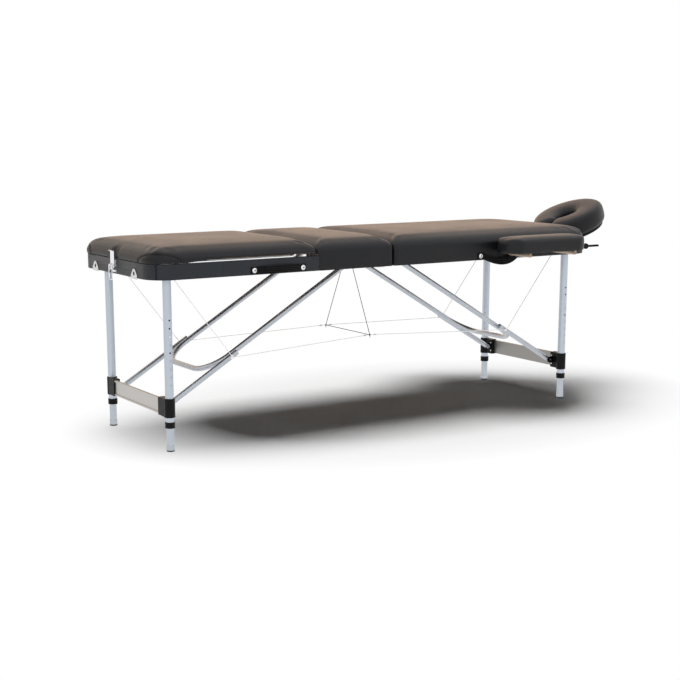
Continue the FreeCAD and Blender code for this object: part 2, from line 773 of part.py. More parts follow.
def upper_leg():
    """Outer tube with its row of height holes."""
    tube = rod_z(LEG_X, LEG_Y, UPPER_END, LEG_PIVOT_Z + UPPER_TOP, UPPER_RADIUS)
    tube = tube.cut(rod_z(LEG_X, LEG_Y, UPPER_END, LEG_PIVOT_Z + UPPER_TOP, UPPER_BORE))
    pivot = rod_y(LEG_X, LEG_PIVOT_Z, LEG_Y - UPPER_RADIUS, LEG_Y + UPPER_RADIUS, PIN_RADIUS + RUN)
    holes = [pivot]
    for step in range(HOLE_COUNT):
        z = HOLE_LOWEST + step * HOLE_PITCH
        holes.append(rod_y(LEG_X, z, LEG_Y, LEG_Y + UPPER_RADIUS, HOLE_RADIUS))
    return tube.cut(holes)


def lower_leg():
    """Inner tube that slides in the outer one."""
    tube = rod_z(LEG_X, LEG_Y, FOOT_FLOOR, LOWER_TOP, LOWER_RADIUS)
    tube = tube.cut(rod_z(LEG_X, LEG_Y, FOOT_FLOOR, LOWER_TOP, LOWER_RADIUS - TUBE_WALL))
    for step in LOWER_HOLE_STEPS:
        z = BUTTON_Z + step * HOLE_PITCH
        tube = tube.cut(rod_y(LEG_X, z, LEG_Y, LEG_Y + UPPER_RADIUS, HOLE_RADIUS))
    return tube


def foot():
    cup = rod_z(LEG_X, LEG_Y, 0, FOOT_HEIGHT, FOOT_RADIUS)
    cup = cup.makeChamfer(FOOT_CHAMFER, cup.Edges)
    return cup.cut(rod_z(LEG_X, LEG_Y, FOOT_FLOOR, FOOT_HEIGHT, LOWER_RADIUS))


def button():
    start = LEG_Y + LOWER_RADIUS + BUTTON_TIP_GAP
    end = LEG_Y + UPPER_RADIUS + BUTTON_PROUD
    pin = rod_y(LEG_X, BUTTON_Z, start, end, HOLE_RADIUS - TUBE_FIT)
    rims = [edge for edge in pin.Edges if edge.BoundBox.YMin > end - TUBE_FIT]
    return pin.makeFillet(BUTTON_PROUD / 2, rims)


def leg_bracket():
    """Sleeve on the leg with the stretcher's clamp and the strut's lug."""
    sleeve = rod_z(LEG_X, LEG_Y, SLEEVE_LOW, SLEEVE_HIGH, SLEEVE_RADIUS)
    clamp = box(
        LEG_X - CLAMP_INNER,
        LEG_X + CLAMP_OUTER,
        LEG_Y - CLAMP_REACH,
        LEG_Y,
        STRETCHER_LOW - STRETCHER_BEAD,
        STRETCHER_HIGH + STRETCHER_BEAD,
    )
    lug_low = STRUT_Y + TONGUE_THICKNESS / 2 + FIT
    lug_high = lug_low + LUG_THICKNESS
    eye = rod_y(STRUT_PIN_X, STRUT_PIN_HEIGHT, lug_low, lug_high, LUG_RADIUS)
    web = box(
        STRUT_PIN_X,
        LEG_X,
        lug_low,
        lug_high,
        STRUT_PIN_HEIGHT - LUG_RADIUS,
        STRUT_PIN_HEIGHT + LUG_RADIUS,
    )
    body = sleeve.fuse([clamp, eye, web])
    body = body.cut(rod_z(LEG_X, LEG_Y, SLEEVE_LOW, SLEEVE_HIGH, UPPER_RADIUS))
    body = body.cut(rod_y(STRUT_PIN_X, STRUT_PIN_HEIGHT, lug_low, lug_high, PIN_RADIUS + RUN))
    return body.cut(stretcher()).removeSplitter()


def stretcher():
    """Flat cross plate with a bead along its upper and lower edges."""
    half = LEG_Y - CLAMP_REACH + CLAMP_SLOT
    centre = LEG_X + STRETCHER_OFFSET
    low = centre - STRETCHER_THICKNESS / 2
    high = centre + STRETCHER_THICKNESS / 2
    plate = box(low, high, -half, half, STRETCHER_LOW, STRETCHER_HIGH)
    inside = half - CLAMP_SLOT
    beads = []
    for z in (STRETCHER_LOW, STRETCHER_HIGH - STRETCHER_BEAD_HEIGHT):
        beads.append(box(low, high + STRETCHER_BEAD, -inside, inside, z, z + STRETCHER_BEAD_HEIGHT))
    return plate.fuse(beads).removeSplitter()


def leg_collar():
    ring = rod_z(LEG_X, LEG_Y, UPPER_END, UPPER_END + COLLAR_HEIGHT, COLLAR_RADIUS)
    return ring.cut(rod_z(LEG_X, LEG_Y, UPPER_END, UPPER_END + COLLAR_HEIGHT, UPPER_RADIUS))


def brace():
    """One U-shaped tube: two arms from the deck, joined by a bend beyond the knuckles."""
    along = LINKAGE["along"]
    pivot = Vector(BRACE_PIVOT, 0, BRACE_PIVOT_Z)
    start = pivot - along * BRACE_END
    turn = pivot + along * (LINKAGE["brace"] + BRACE_OVERRUN)
    side = Vector(0, BRACE_Y, 0)
    points = [start + side, turn + side, turn - side, start - side]
    tube = round_bar(points, BRACE_BEND, TUBE_RADIUS, TUBE_RADIUS - TUBE_WALL)
    bore = rod_y(BRACE_PIVOT, BRACE_PIVOT_Z, -HALF_WIDTH, HALF_WIDTH, PIN_RADIUS + RUN)
    return tube.cut(bore)


def strut_tongue(lower, upward):
    """Flattened lower end of a strut, rounded about its pin."""
    half = TONGUE_THICKNESS / 2
    radius = TUBE_RADIUS - TUBE_WALL
    across = upward.cross(Y_AXIS) * radius
    foot_end = lower - Vector(0, half, 0)
    tube_end = foot_end + upward * TONGUE_LENGTH
    corners = [foot_end + across, tube_end + across, tube_end - across, foot_end - across]
    flat = Part.Face(Part.makePolygon(corners + corners[:1])).extrude(Vector(0, TONGUE_THICKNESS, 0))
    return flat.fuse(rod_y(lower.x, lower.z, lower.y - half, lower.y + half, radius)).removeSplitter()


def strut_solids():
    """Short tube from leg to knuckle, with its end plug, lower pin and knuckle rivet."""
    lower = Vector(STRUT_PIN_X, STRUT_Y, STRUT_PIN_HEIGHT)
    knuckle = LINKAGE["knuckle"] + Vector(0, STRUT_Y, 0)
    upward = (knuckle - lower).normalize()
    start = lower + upward * (TONGUE_LENGTH - TUBE_WALL)
    end = knuckle + upward * (STRUT_OVERRUN - PLUG_LENGTH)
    bored = start + upward * TUBE_WALL
    tube = rod(start, end, TUBE_RADIUS).cut(rod(bored, end, TUBE_RADIUS - TUBE_WALL))
    face_low = STRUT_Y - TUBE_RADIUS
    face_high = STRUT_Y + TUBE_RADIUS
    tube = tube.cut(rod_y(knuckle.x, knuckle.z, face_low, face_high, PIN_RADIUS))
    tube = tube.fuse(strut_tongue(lower, upward))
    tube = tube.cut(rod_y(lower.x, lower.z, face_low, face_high, PIN_RADIUS)).removeSplitter()
    plug = rod(end, end + upward * PLUG_LENGTH, TUBE_RADIUS)
    tongue_low = STRUT_Y - TONGUE_THICKNESS / 2
    pin_end = STRUT_Y + TONGUE_THICKNESS / 2 + FIT + LUG_THICKNESS + PIN_HEAD
    pin = rod_y(lower.x, lower.z, tongue_low - PIN_HEAD, pin_end, PIN_RADIUS)
    pin_head = rod_y(lower.x, lower.z, tongue_low - PIN_HEAD, tongue_low, PIN_HEAD_RADIUS)
    rivet_start = face_low - LANE_GAP + FIT
    rivet_end = CABLE_Y - CABLE_RADIUS - 3 * FIT
    rivet = rod_y(knuckle.x, knuckle.z, rivet_start, rivet_end, PIN_RADIUS)
    washer = rod_y(knuckle.x, knuckle.z, face_high, face_high + PIN_HEAD, PIN_HEAD_RADIUS)
    return [tube, plug, pin.fuse(pin_head).removeSplitter(), rivet.fuse(washer).removeSplitter()]


def cable():
    """Tension cable from the leg mount round the knuckle to the middle of the table."""
    anchor = Vector(LEG_X - CABLE_ANCHOR_INSET, CABLE_Y, LEG_PIVOT_Z + CABLE_ANCHOR_RISE)
    knuckle = LINKAGE["knuckle"] + Vector(0, CABLE_Y, 0)
    middle = Vector(KNOT_RADIUS + FIT, CABLE_MIDDLE_SIDE, CABLE_MIDDLE_HEIGHT)
    return round_bar([anchor, knuckle, middle], CABLE_BEND, CABLE_RADIUS)


def centre_cord():
    """Cord looped round the bar of the middle hinge, tied to each cable and between the knots."""
    loop = CORD_BAR_RADIUS + FIT + CORD_RADIUS
    far_top = Vector(0, CORD_LOOP_SIDE, HINGE_PIN_Z - loop)
    far_knot = Vector(0, CABLE_MIDDLE_SIDE, CABLE_MIDDLE_HEIGHT)
    near_top = Vector(0, -far_top.y, far_top.z)
    near_knot = Vector(0, -far_knot.y, far_knot.z)
    line = round_bar([near_top, near_knot, far_knot, far_top], CORD_BEND, CORD_RADIUS)
    knots = [Part.makeSphere(KNOT_RADIUS, point) for point in (near_knot, far_knot)]
    loops = []
    for top in (near_top, far_top):
        loops.append(Part.makeTorus(loop, CORD_RADIUS, Vector(0, top.y, HINGE_PIN_Z), Y_AXIS))
    return line.fuse(knots + loops).removeSplitter()


def latch_place(out, rise):
    return Vector(RAIL_END + out, 0, FRAME_BOTTOM + rise)


def latch_base():
    """Plate on the end rail with two ears for the lever."""
    half = LATCH_WIDTH / 2
    plate = box(
        RAIL_END,
        RAIL_END + LATCH_SHEET,
        -half,
        half,
        FRAME_BOTTOM + LATCH_LOW,
        FRAME_BOTTOM + LATCH_HIGH,
    )
    pivot = latch_place(LATCH_PIVOT_OUT, LATCH_PIVOT_RISE)
    solid = plate
    for low, high in ((-half, -half + LATCH_EAR_WIDTH), (half - LATCH_EAR_WIDTH, half)):
        round_end = rod_y(pivot.x, pivot.z, low, high, LATCH_EAR)
        web = box(RAIL_END, pivot.x, low, high, pivot.z - LATCH_EAR, pivot.z + LATCH_EAR)
        solid = solid.fuse(round_end).fuse(web)
    return solid.cut(rod_y(pivot.x, pivot.z, -half, half, LATCH_PIVOT_RADIUS + RUN)).removeSplitter()


def latch_lever():
    """Lever that draws the bail, with its pivot and a curled finger end."""
    half = LATCH_WIDTH / 2 - LATCH_EAR_WIDTH - FIT
    pivot = latch_place(LATCH_PIVOT_OUT, LATCH_PIVOT_RISE)
    inner = pivot.x - LATCH_PIVOT_RADIUS + FIT
    outer = inner + LATCH_SHEET
    top = FRAME_BOTTOM + LATCH_LEVER_TOP
    blade = box(inner, outer, -half, half, pivot.z, top)
    curl = box(inner, outer + LATCH_CURL, -half, half, top, top + LATCH_SHEET)
    barrel = rod_y(pivot.x, pivot.z, -half, half, LATCH_BARREL)
    pin = rod_y(pivot.x, pivot.z, -LATCH_WIDTH / 2, LATCH_WIDTH / 2, LATCH_PIVOT_RADIUS)
    hang = bail_pivot()
    eye = BAIL_WIDTH / 2 - BAIL_BEND
    lobe = rod_y(hang.x, hang.z, -eye, eye, BAIL_EYE)
    web = box(inner, hang.x, -eye, eye, hang.z - BAIL_EYE, hang.z + BAIL_EYE)
    bore = rod_y(hang.x, hang.z, -half, half, BAIL_WIRE + RUN)
    body = blade.fuse([curl, barrel, lobe, web]).cut(bore)
    return body.fuse(pin).removeSplitter()


def bail_pivot():
    """Where the bail hangs on the lever, clear of the lever's barrel."""
    out = LATCH_PIVOT_OUT + LATCH_BARREL + FIT + BAIL_WIRE
    return latch_place(out, BAIL_PIVOT_RISE)


def latch_bail():
    """Wire loop that hangs from the lever, its two ends in the lever's eye."""
    half = BAIL_WIDTH / 2
    hang = bail_pivot()
    low = hang.z - BAIL_DROP
    points = [
        Vector(hang.x, FIT, hang.z),
        Vector(hang.x, half, hang.z),
        Vector(hang.x, half, low),
        Vector(hang.x, -half, low),
        Vector(hang.x, -half, hang.z),
        Vector(hang.x, -FIT, hang.z),
    ]
    return round_bar(points, BAIL_BEND - BAIL_WIRE, BAIL_WIRE)


def latch_catch():
    """Hooked plate on the right end that the bail draws up to."""
    half = CATCH_WIDTH / 2
    low = FRAME_BOTTOM + CATCH_LOW
    high = FRAME_BOTTOM + CATCH_HIGH
    middle = (low + high) / 2
    plate = box(HALF_LENGTH, HALF_LENGTH + LATCH_SHEET, -half, half, low, high)
    lip = box(HALF_LENGTH, HALF_LENGTH + CATCH_LIP, -half, half, middle, middle + LATCH_SHEET)
    hook = box(
        HALF_LENGTH + CATCH_LIP - LATCH_SHEET,
        HALF_LENGTH + CATCH_LIP,
        -half,
        half,
        middle,
        middle + CATCH_LIP,
    )
    return plate.fuse([lip, hook]).removeSplitter()


def prop_bail():
    """Wire prop under the backrest: pivot stubs, two arms and a cross bar."""
    start = PROP_PIVOT
    end = PROP_FOOT
    bars = [rod_y(end, PROP_Z, -HALF_WIDTH + PROP_FOOT_SIDE, HALF_WIDTH - PROP_FOOT_SIDE, PROP_WIRE)]
    bars.append(rod_y(start, PROP_Z, -PROP_Y, PROP_Y, PROP_WIRE))
    for side in (-PROP_Y, PROP_Y):
        bars.append(rod_x(side, PROP_Z, end, start, PROP_WIRE))
        bars.append(Part.makeSphere(PROP_WIRE, Vector(start, side, PROP_Z)))
    return bars[0].fuse(bars[1:]).removeSplitter()


def prop_clip():
    """Saddle under the board that carries the prop's pivot bar."""
    y = PROP_Y - PROP_WIRE - CLIP_LENGTH
    reach = PROP_WIRE + RUN + CLIP_WALL
    saddle = rod_y(PROP_PIVOT, PROP_Z, y, y + CLIP_LENGTH, reach)
    web = box(PROP_PIVOT - reach, PROP_PIVOT + reach, y, y + CLIP_LENGTH, PROP_Z, BOARD_BOTTOM)
    saddle = saddle.fuse(web)
    above = box(PROP_PIVOT - reach, PROP_PIVOT + reach, y, y + CLIP_LENGTH, BOARD_BOTTOM, TOP_HEIGHT)
    saddle = saddle.cut(above)
    return saddle.cut(rod_y(PROP_PIVOT, PROP_Z, y, y + CLIP_LENGTH, PROP_WIRE + RUN)).removeSplitter()


def bumpers():
    """Rubber stops under the board that rest on the rails."""
    stops = []
    for place in BUMPER_PLACES:
        y = RAIL_SIDE - RAIL_THICKNESS / 2
        stops += both_sides(rod_z(place, y, FRAME_TOP + FIT, BOARD_BOTTOM, BUMPER_RADIUS))
    return stops


def ratchet():
    """Dipped, notched strip on the side rail that catches the prop's foot."""
    low_side = RAIL_INSIDE - RATCHET_SHEET
    brow = FRAME_TOP - RATCHET_DROP
    dip = FRAME_TOP - RATCHET_DIP
    start = Vector(PROP_FOOT - RATCHET_BACK, low_side, brow)
    middle = Vector(PROP_FOOT + RATCHET_LOWEST, low_side, dip)
    end = Vector(PROP_FOOT + RATCHET_REACH, low_side, brow)
    drop = Vector(0, 0, RATCHET_DEPTH)
    edges = [
        Part.Arc(start, middle, end).toShape(),
        Part.LineSegment(end, end - drop).toShape(),
        Part.Arc(end - drop, middle - drop, start - drop).toShape(),
        Part.LineSegment(start - drop, start).toShape(),
    ]
    strip = Part.Face(Part.Wire(edges)).extrude(Vector(0, RATCHET_SHEET, 0))
    curve = Part.Arc(start, middle, end)
    first = curve.FirstParameter
    share = (curve.LastParameter - first) / (RATCHET_NOTCHES + 1)
    for index in range(RATCHET_NOTCHES):
        point = curve.value(first + share * (index + 1))
        strip = strip.cut(rod_y(point.x, point.z, low_side, RAIL_INSIDE, PROP_WIRE))
    return strip


def tilted(solid):
    """A cradle piece drawn level, raised to its tilt about the cross bar."""
    solid.rotate(Vector(CRADLE_BAR, 0, CRADLE_BAR_Z), Y_AXIS, -CRADLE_TILT)
    return solid


def cradle_rods():
    """Two rods for the sockets, joined by the bar that the platform tilts on."""
    face = HALF_LENGTH + FLANGE_SHEET
    reach = SOCKET_SPREAD + CRADLE_BAR_OVERHANG
    bar = rod_y(CRADLE_BAR, CRADLE_BAR_Z, -reach, reach, CRADLE_BAR_RADIUS)
    rods = []
    for side in (-SOCKET_SPREAD, SOCKET_SPREAD):
        rods.append(rod_x(side, SOCKET_Z, face - ROD_DEPTH, CRADLE_BAR, ROD_RADIUS))
    return bar.fuse(rods).removeSplitter()


def cradle_centre():
    return Vector(CRADLE_BAR + CRADLE_REACH, 0, CRADLE_BAR_Z + CRADLE_PLATE_RISE + CRADLE_PLATE)


def cradle_platform():
    """Plate under the face cushion, open at the face, with knuckles on the bar."""
    centre = cradle_centre()
    low = centre.z - CRADLE_PLATE
    plate = rod_z(centre.x, 0, low, centre.z, CRADLE_LOBE)
    plate = plate.cut(rod_z(centre.x, 0, low, centre.z, CRADLE_OPENING))
    knuckles = []
    for y in (-SOCKET_SPREAD / 2, SOCKET_SPREAD / 2):
        half = CRADLE_KNUCKLE_WIDTH / 2
        ring = rod_y(CRADLE_BAR, CRADLE_BAR_Z, y - half, y + half, CRADLE_KNUCKLE)
        arm = box(CRADLE_BAR, centre.x - CRADLE_OPENING, y - half, y + half, CRADLE_BAR_Z, low + FIT)
        knuckles += [ring, arm]
    body = plate.fuse(knuckles)
    for y in (-CRADLE_LOBE, CRADLE_LOBE):
        inward = y * (1 - 2 * CRADLE_HOLE / CRADLE_LOBE)
        body = body.cut(rod_z(centre.x, inward, low, centre.z, CRADLE_HOLE))
    reach = SOCKET_SPREAD + CRADLE_BAR_OVERHANG
    bore = rod_y(CRADLE_BAR, CRADLE_BAR_Z, -reach, reach, CRADLE_BAR_RADIUS + RUN)
    return tilted(body.cut(bore).removeSplitter())


def cradle_cushion():
    """Ring cushion for the face, with a slot that opens towards the table."""
    corners = []
    for step in range(CRADLE_PAD_SIDES):
        angle = 2 * math.pi * (step + 0.5) / CRADLE_PAD_SIDES
        out = CRADLE_RING + CRADLE_PAD_RADIUS * math.cos(angle)
        corners.append(Vector(out, 0, CRADLE_PAD_RADIUS * math.sin(angle)))
    section = Part.Face(Part.makePolygon(corners + corners[:1]))
    ring = section.revolve(ORIGIN, Z_AXIS, 360 - CRADLE_SLOT_ANGLE)
    ring.rotate(ORIGIN, Z_AXIS, 180 + CRADLE_SLOT_ANGLE / 2)
    seat = CRADLE_PAD_RADIUS * math.cos(math.pi / CRADLE_PAD_SIDES)
    ring.translate(cradle_centre() + Vector(0, 0, seat))
    return tilted(ring)


def cam_lever():
    """Cam on the end of the cross bar that locks the tilt."""
    start = -SOCKET_SPREAD - CRADLE_BAR_OVERHANG - FIT
    end = start - CAM_WIDTH
    cam = rod_y(CRADLE_BAR, CRADLE_BAR_Z, end, start, CAM_RADIUS)
    half = CAM_HANDLE_HEIGHT / 2
    handle = box(CRADLE_BAR, CRADLE_BAR + CAM_HANDLE, end, start, CRADLE_BAR_Z - half, CRADLE_BAR_Z + half)
    tip = rod_y(CRADLE_BAR + CAM_HANDLE, CRADLE_BAR_Z, end, start, half)
    return cam.fuse([handle, tip]).removeSplitter()


def armrest_dowels():
    start = HALF_WIDTH - DOWEL_DEPTH
    end = HALF_WIDTH + DOWEL_REACH
    return [rod_y(place, DOWEL_Z, start, end, DOWEL_RADIUS) for place in DOWEL_PLACES]


def armrest_pad():
    """Crowned pad that rests on the two dowels."""
    base = DOWEL_Z + DOWEL_RADIUS
    top = FRAME_BOTTOM + ARMREST_TOP
    middle = HALF_WIDTH + ARMREST_GAP + (ARMREST_REACH - ARMREST_GAP) / 2
    half = (ARMREST_REACH - ARMREST_GAP) / 2
    levels = [
        (base, ARMREST_EDGE / 2),
        (base + ARMREST_EDGE, 0.0),
        (top - ARMREST_EDGE - ARMREST_CROWN_RISE, 0.0),
        (top - ARMREST_CROWN_RISE, ARMREST_EDGE),
        (top, ARMREST_CROWN),
    ]
    pad = cushion(ARMREST_START, ARMREST_END, half, ARMREST_CORNER, ARMREST_CORNER, levels)
    pad.translate(Vector(0, middle, 0))
    return pad


def half_nodes(is_left):
    """Nodes that both halves have, made on the +X side."""
    face = RAIL_END if is_left else HALF_LENGTH
    return {
        "frame_rails": rail_solids(not is_left),
        "pivot_mounts": both_sides(leg_mount()) + both_sides(brace_mount()),
        "pins_and_screws": both_sides(leg_pin()) + both_sides(brace_pin()) + handle_screws(is_left),
        "hinge_leaves": [hinge_leaf(y) for y in hinge_places()],
        "carry_handle": [carry_handle(is_left)],
        "cradle_sockets": both_sides(rod_socket(face)),
        "upper_legs": both_sides(upper_leg()),
        "stretcher": [stretcher()],
        "leg_brackets": both_sides(leg_bracket()) + both_sides(leg_collar()),
        "brace": [brace()],
        "struts": [copy for solid in strut_solids() for copy in both_sides(solid)],
        "cables": both_sides(cable()),
    }


def leg_nodes():
    """Nodes of the four sliding lower legs."""
    nodes = {}
    for name, solid in (("lower_leg", lower_leg()), ("foot", foot()), ("leg_button", button())):
        nodes["right_far_" + name] = [solid]
        nodes["right_near_" + name] = [mirror_y(solid)]
        nodes["left_far_" + name] = [mirror_x(solid)]
        nodes["left_near_" + name] = [mirror_y(mirror_x(solid))]
    return nodes


def all_nodes():
    nodes = {}
    for name, solids in half_nodes(True).items():
        nodes["left_" + name] = [mirror_x(solid) for solid in solids]
    for name, solids in half_nodes(False).items():
        nodes["right_" + name] = solids
    nodes.update(leg_nodes())
    left_only = {
        "middle_deck": [deck(BACKREST_SEAM, SEAM_RADIUS)],
        "middle_pad": middle_pad(),
        "backrest_board": [backrest_board()],
        "backrest_pad": [backrest_pad()],
        "backrest_fittings": both_sides(prop_clip()) + bumpers(),
        "prop_bail": [prop_bail()],
        "prop_ratchets": both_sides(ratchet()),
        "latch_base": [latch_base()],
        "latch_lever": [latch_lever()],
        "latch_bail": [latch_bail()],
    }
    for name, solids in left_only.items():
        nodes[name] = [mirror_x(solid) for solid in solids]
    dowels = armrest_dowels()
    pad = armrest_pad()
    nodes.update({
        "right_deck": [deck(RAIL_END - DECK_INSET, CORNER_RADIUS - COVER - DECK_INSET)],
        "right_pad": right_pad(),
        "latch_catch": [latch_catch()],
        "fold_links": fold_links(),
        "centre_cord": [centre_cord()],
        "cradle_rods": [cradle_rods()],
        "cradle_platform": [cradle_platform()],
        "cradle_cushion": [cradle_cushion()],
        "cradle_cam_lever": [cam_lever()],
        "far_armrest_pad": [pad],
        "near_armrest_pad": [mirror_y(pad)],
        "far_armrest_dowels": dowels,
        "near_armrest_dowels": [mirror_y(solid) for solid in dowels],
    })
    return nodes


def origin_shift(nodes):
    """Move that puts the origin under the middle of the table's box."""
    shapes = [solid for solids in nodes.values() for solid in solids]
    limits = Part.makeCompound(shapes).optimalBoundingBox(False, False)
    middle_x = (limits.XMin + limits.XMax) / 2
    middle_y = (limits.YMin + limits.YMax) / 2
    return Vector(-middle_x, -middle_y, -limits.ZMin)


def main():
    os.makedirs("parts", exist_ok=True)
    nodes = all_nodes()
    shift = origin_shift(nodes)
    for name, solids in nodes.items():
        for solid in solids:
            solid.translate(shift)
        Part.makeCompound(solids).exportStep(os.path.join("parts", name + ".step"))
    print("nodes", len(nodes), "shift", round(shift.x, 3), round(shift.y, 3), round(shift.z, 3))
    print("brace turn", round(LINKAGE["brace_turn"], 4), "strut turn", round(LINKAGE["strut_turn"], 4))


if __name__ == "__main__":
    main()
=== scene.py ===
"""Looks of a folding three-section massage table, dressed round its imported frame. Metres, +Z up."""
import json
import logging
import math
from dataclasses import dataclass
from enum import Enum
from typing import Any, Callable, Iterable, Sequence

import bmesh
import bpy
import numpy as np
from mathutils import Matrix, Vector
from mathutils.bvhtree import BVHTree

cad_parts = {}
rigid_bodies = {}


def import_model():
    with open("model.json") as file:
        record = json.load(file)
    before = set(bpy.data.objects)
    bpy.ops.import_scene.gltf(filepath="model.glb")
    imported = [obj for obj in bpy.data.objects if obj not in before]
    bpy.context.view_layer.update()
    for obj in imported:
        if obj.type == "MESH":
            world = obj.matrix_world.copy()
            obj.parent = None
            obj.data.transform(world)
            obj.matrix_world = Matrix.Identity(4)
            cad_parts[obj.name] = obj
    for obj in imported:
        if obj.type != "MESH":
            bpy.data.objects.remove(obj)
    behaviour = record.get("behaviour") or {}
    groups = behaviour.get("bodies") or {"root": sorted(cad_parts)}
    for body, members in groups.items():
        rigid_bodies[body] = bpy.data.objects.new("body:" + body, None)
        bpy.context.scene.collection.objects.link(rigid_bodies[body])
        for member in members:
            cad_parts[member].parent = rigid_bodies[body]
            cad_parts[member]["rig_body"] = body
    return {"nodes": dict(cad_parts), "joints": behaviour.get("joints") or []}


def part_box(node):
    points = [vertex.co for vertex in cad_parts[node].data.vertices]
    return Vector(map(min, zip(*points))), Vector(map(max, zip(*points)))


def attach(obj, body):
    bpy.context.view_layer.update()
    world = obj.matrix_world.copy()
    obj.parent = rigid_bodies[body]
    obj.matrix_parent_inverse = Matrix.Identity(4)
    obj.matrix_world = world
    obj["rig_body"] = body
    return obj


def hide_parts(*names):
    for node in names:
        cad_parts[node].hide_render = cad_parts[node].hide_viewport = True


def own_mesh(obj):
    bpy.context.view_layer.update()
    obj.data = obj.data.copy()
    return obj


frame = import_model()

LOG = logging.getLogger("massage_table")
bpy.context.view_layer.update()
MERGE = 1e-6
Triple = tuple[float, float, float]


class Side(Enum):
    """Half of the table."""

    LEFT = "left"
    RIGHT = "right"

    @property
    def way(self) -> int:
        """Direction along X from the fold to the end of this half."""
        return -1 if self is Side.LEFT else 1


class Depth(Enum):
    """Long side of the table, as the reference view sees it."""

    NEAR = "near"
    FAR = "far"

    @property
    def way(self) -> int:
        """Direction along Y from the middle to this side."""
        return -1 if self is Depth.NEAR else 1


class Grain(Enum):
    """Run of a brushed, drawn or sawn surface."""

    UPRIGHT = (0.0, 0.0, 1.0)
    ACROSS = (0.0, 1.0, 0.0)
    ALONG = (1.0, 0.0, 0.0)


def maths(operation: str, swapped: bool = False) -> Callable[..., "Socket"]:
    """Makes an operator that adds a Math node.

    Args:
        operation: The node's operation.
        swapped: Puts the socket second, as a reflected operator does.

    Returns:
        The operator, as a method of Socket.
    """

    def operate(self: "Socket", other: Any = 0.0) -> "Socket":
        """Joins this socket with a number or another socket."""
        pair = (other, self) if swapped else (self, other)
        return self.graph.node("Math", {"operation": operation}, dict(enumerate(pair)))

    return operate


class Socket:
    """An output socket that takes part in expressions; | takes the larger value and & the smaller."""

    def __init__(self, graph: "Graph", output: bpy.types.NodeSocket) -> None:
        """Wraps one output of a graph's node."""
        self.graph = graph
        self.output = output

    __add__ = __radd__ = maths("ADD")
    __sub__ = maths("SUBTRACT")
    __rsub__ = maths("SUBTRACT", swapped=True)
    __mul__ = __rmul__ = maths("MULTIPLY")
    __or__ = maths("MAXIMUM")
    __and__ = maths("MINIMUM")
    sine = maths("SINE")

    def clamped(self) -> "Socket":
        """This value, held between 0 and 1."""
        return (self | 0.0) & 1.0


class Graph:
    """Node tree of a material or of the world."""

    def __init__(self, tree: bpy.types.NodeTree) -> None:
        """Takes over a tree and empties it."""
        self.tree = tree
        tree.nodes.clear()

    def node(
        self,
        kind: str,
        settings: dict[str, Any] | None = None,
        sockets: dict[str | int, Any] | None = None,
        output: str | int = 0,
    ) -> Socket | None:
        """Adds one node.

        Args:
            kind: The node's type, without the prefix of shader nodes.
            settings: Its properties, set first.
            sockets: Values or links of its inputs.
            output: The output to use.

        Returns:
            The output, or None where the node has none.
        """
        made = self.tree.nodes.new("ShaderNode" + kind)
        for name, value in (settings or {}).items():
            setattr(made, name, value)
        for name, value in (sockets or {}).items():
            if isinstance(value, Socket):
                self.tree.links.new(value.output, made.inputs[name])
            else:
                made.inputs[name].default_value = value
        return Socket(self, made.outputs[output]) if made.outputs else None

    def place(self, scale: Triple = (1.0, 1.0, 1.0), turn: Triple = (0.0, 0.0, 0.0)) -> Socket:
        """Object coordinates, turned and then stretched.

        Args:
            scale: Stretch along each axis.
            turn: Turn about each axis, in radians.

        Returns:
            The coordinates.
        """
        coords = self.node("TexCoord", output="Object")
        turned = self.node("Mapping", {}, {"Vector": coords, "Rotation": turn})
        return self.node("Mapping", {}, {"Vector": turned, "Scale": scale})

    def noise(self, place: Socket, scale: float, detail: float = 2.0) -> Socket:
        """Soft noise from 0 to 1."""
        return self.node("TexNoise", {}, {"Vector": place, "Scale": scale, "Detail": detail}, "Fac")

    def mix(self, share: Socket, first: Triple, second: Triple) -> Socket:
        """Colour between two colours."""
        return self.node("Mix", {"data_type": "RGBA"}, {0: share, 6: (*first, 1.0), 7: (*second, 1.0)}, 2)

    def bump(self, height: Socket, depth: float, strength: float) -> Socket:
        """Normal of a surface with this relief."""
        return self.node("Bump", {}, {"Height": height, "Distance": depth, "Strength": strength}, "Normal")

    def rays(self) -> list[Socket]:
        """Whether a ray comes from the camera, from a gloss and through a clear surface."""
        kinds = ("Camera", "Glossy", "Transmission")
        return [self.node("LightPath", output=f"Is {kind} Ray") for kind in kinds]


def new_material(name: str, shade: Callable[[Graph], Socket]) -> bpy.types.Material:
    """Makes a material whose surface is the shader that shade adds to its graph.

    Args:
        name: Name of the material.
        shade: Adds the surface shader to a graph.

    Returns:
        The material.
    """
    made = bpy.data.materials.new(name)
    made.use_nodes = True
    graph = Graph(made.node_tree)
    graph.node("OutputMaterial", {}, {"Surface": shade(graph)})
    return made


@dataclass(frozen=True)
class Finish:
    """A surface finish; each kind draws its own pattern."""

    name: str
    slot: str
    color: Triple
    roughness: float

    def material(self) -> bpy.types.Material:
        """The finish's material, made on first use."""
        return bpy.data.materials.get(self.name) or new_material(self.name, self._shade)

    def _shade(self, graph: Graph) -> Socket:
        """The surface shader with the finish's pattern."""
        return graph.node("BsdfPrincipled", {}, self.sockets(graph))

    def sockets(self, graph: Graph) -> dict[str, Any]:
        """Inputs of the surface shader."""
        raise NotImplementedError

    def tone(self, graph: Graph, share: Socket, first: float, second: float) -> Socket:
        """The finish's colour, between two shares of its brightness."""
        ends = [tuple(min(1.0, part * level) for part in self.color) for level in (first, second)]
        return graph.mix(share, *ends)


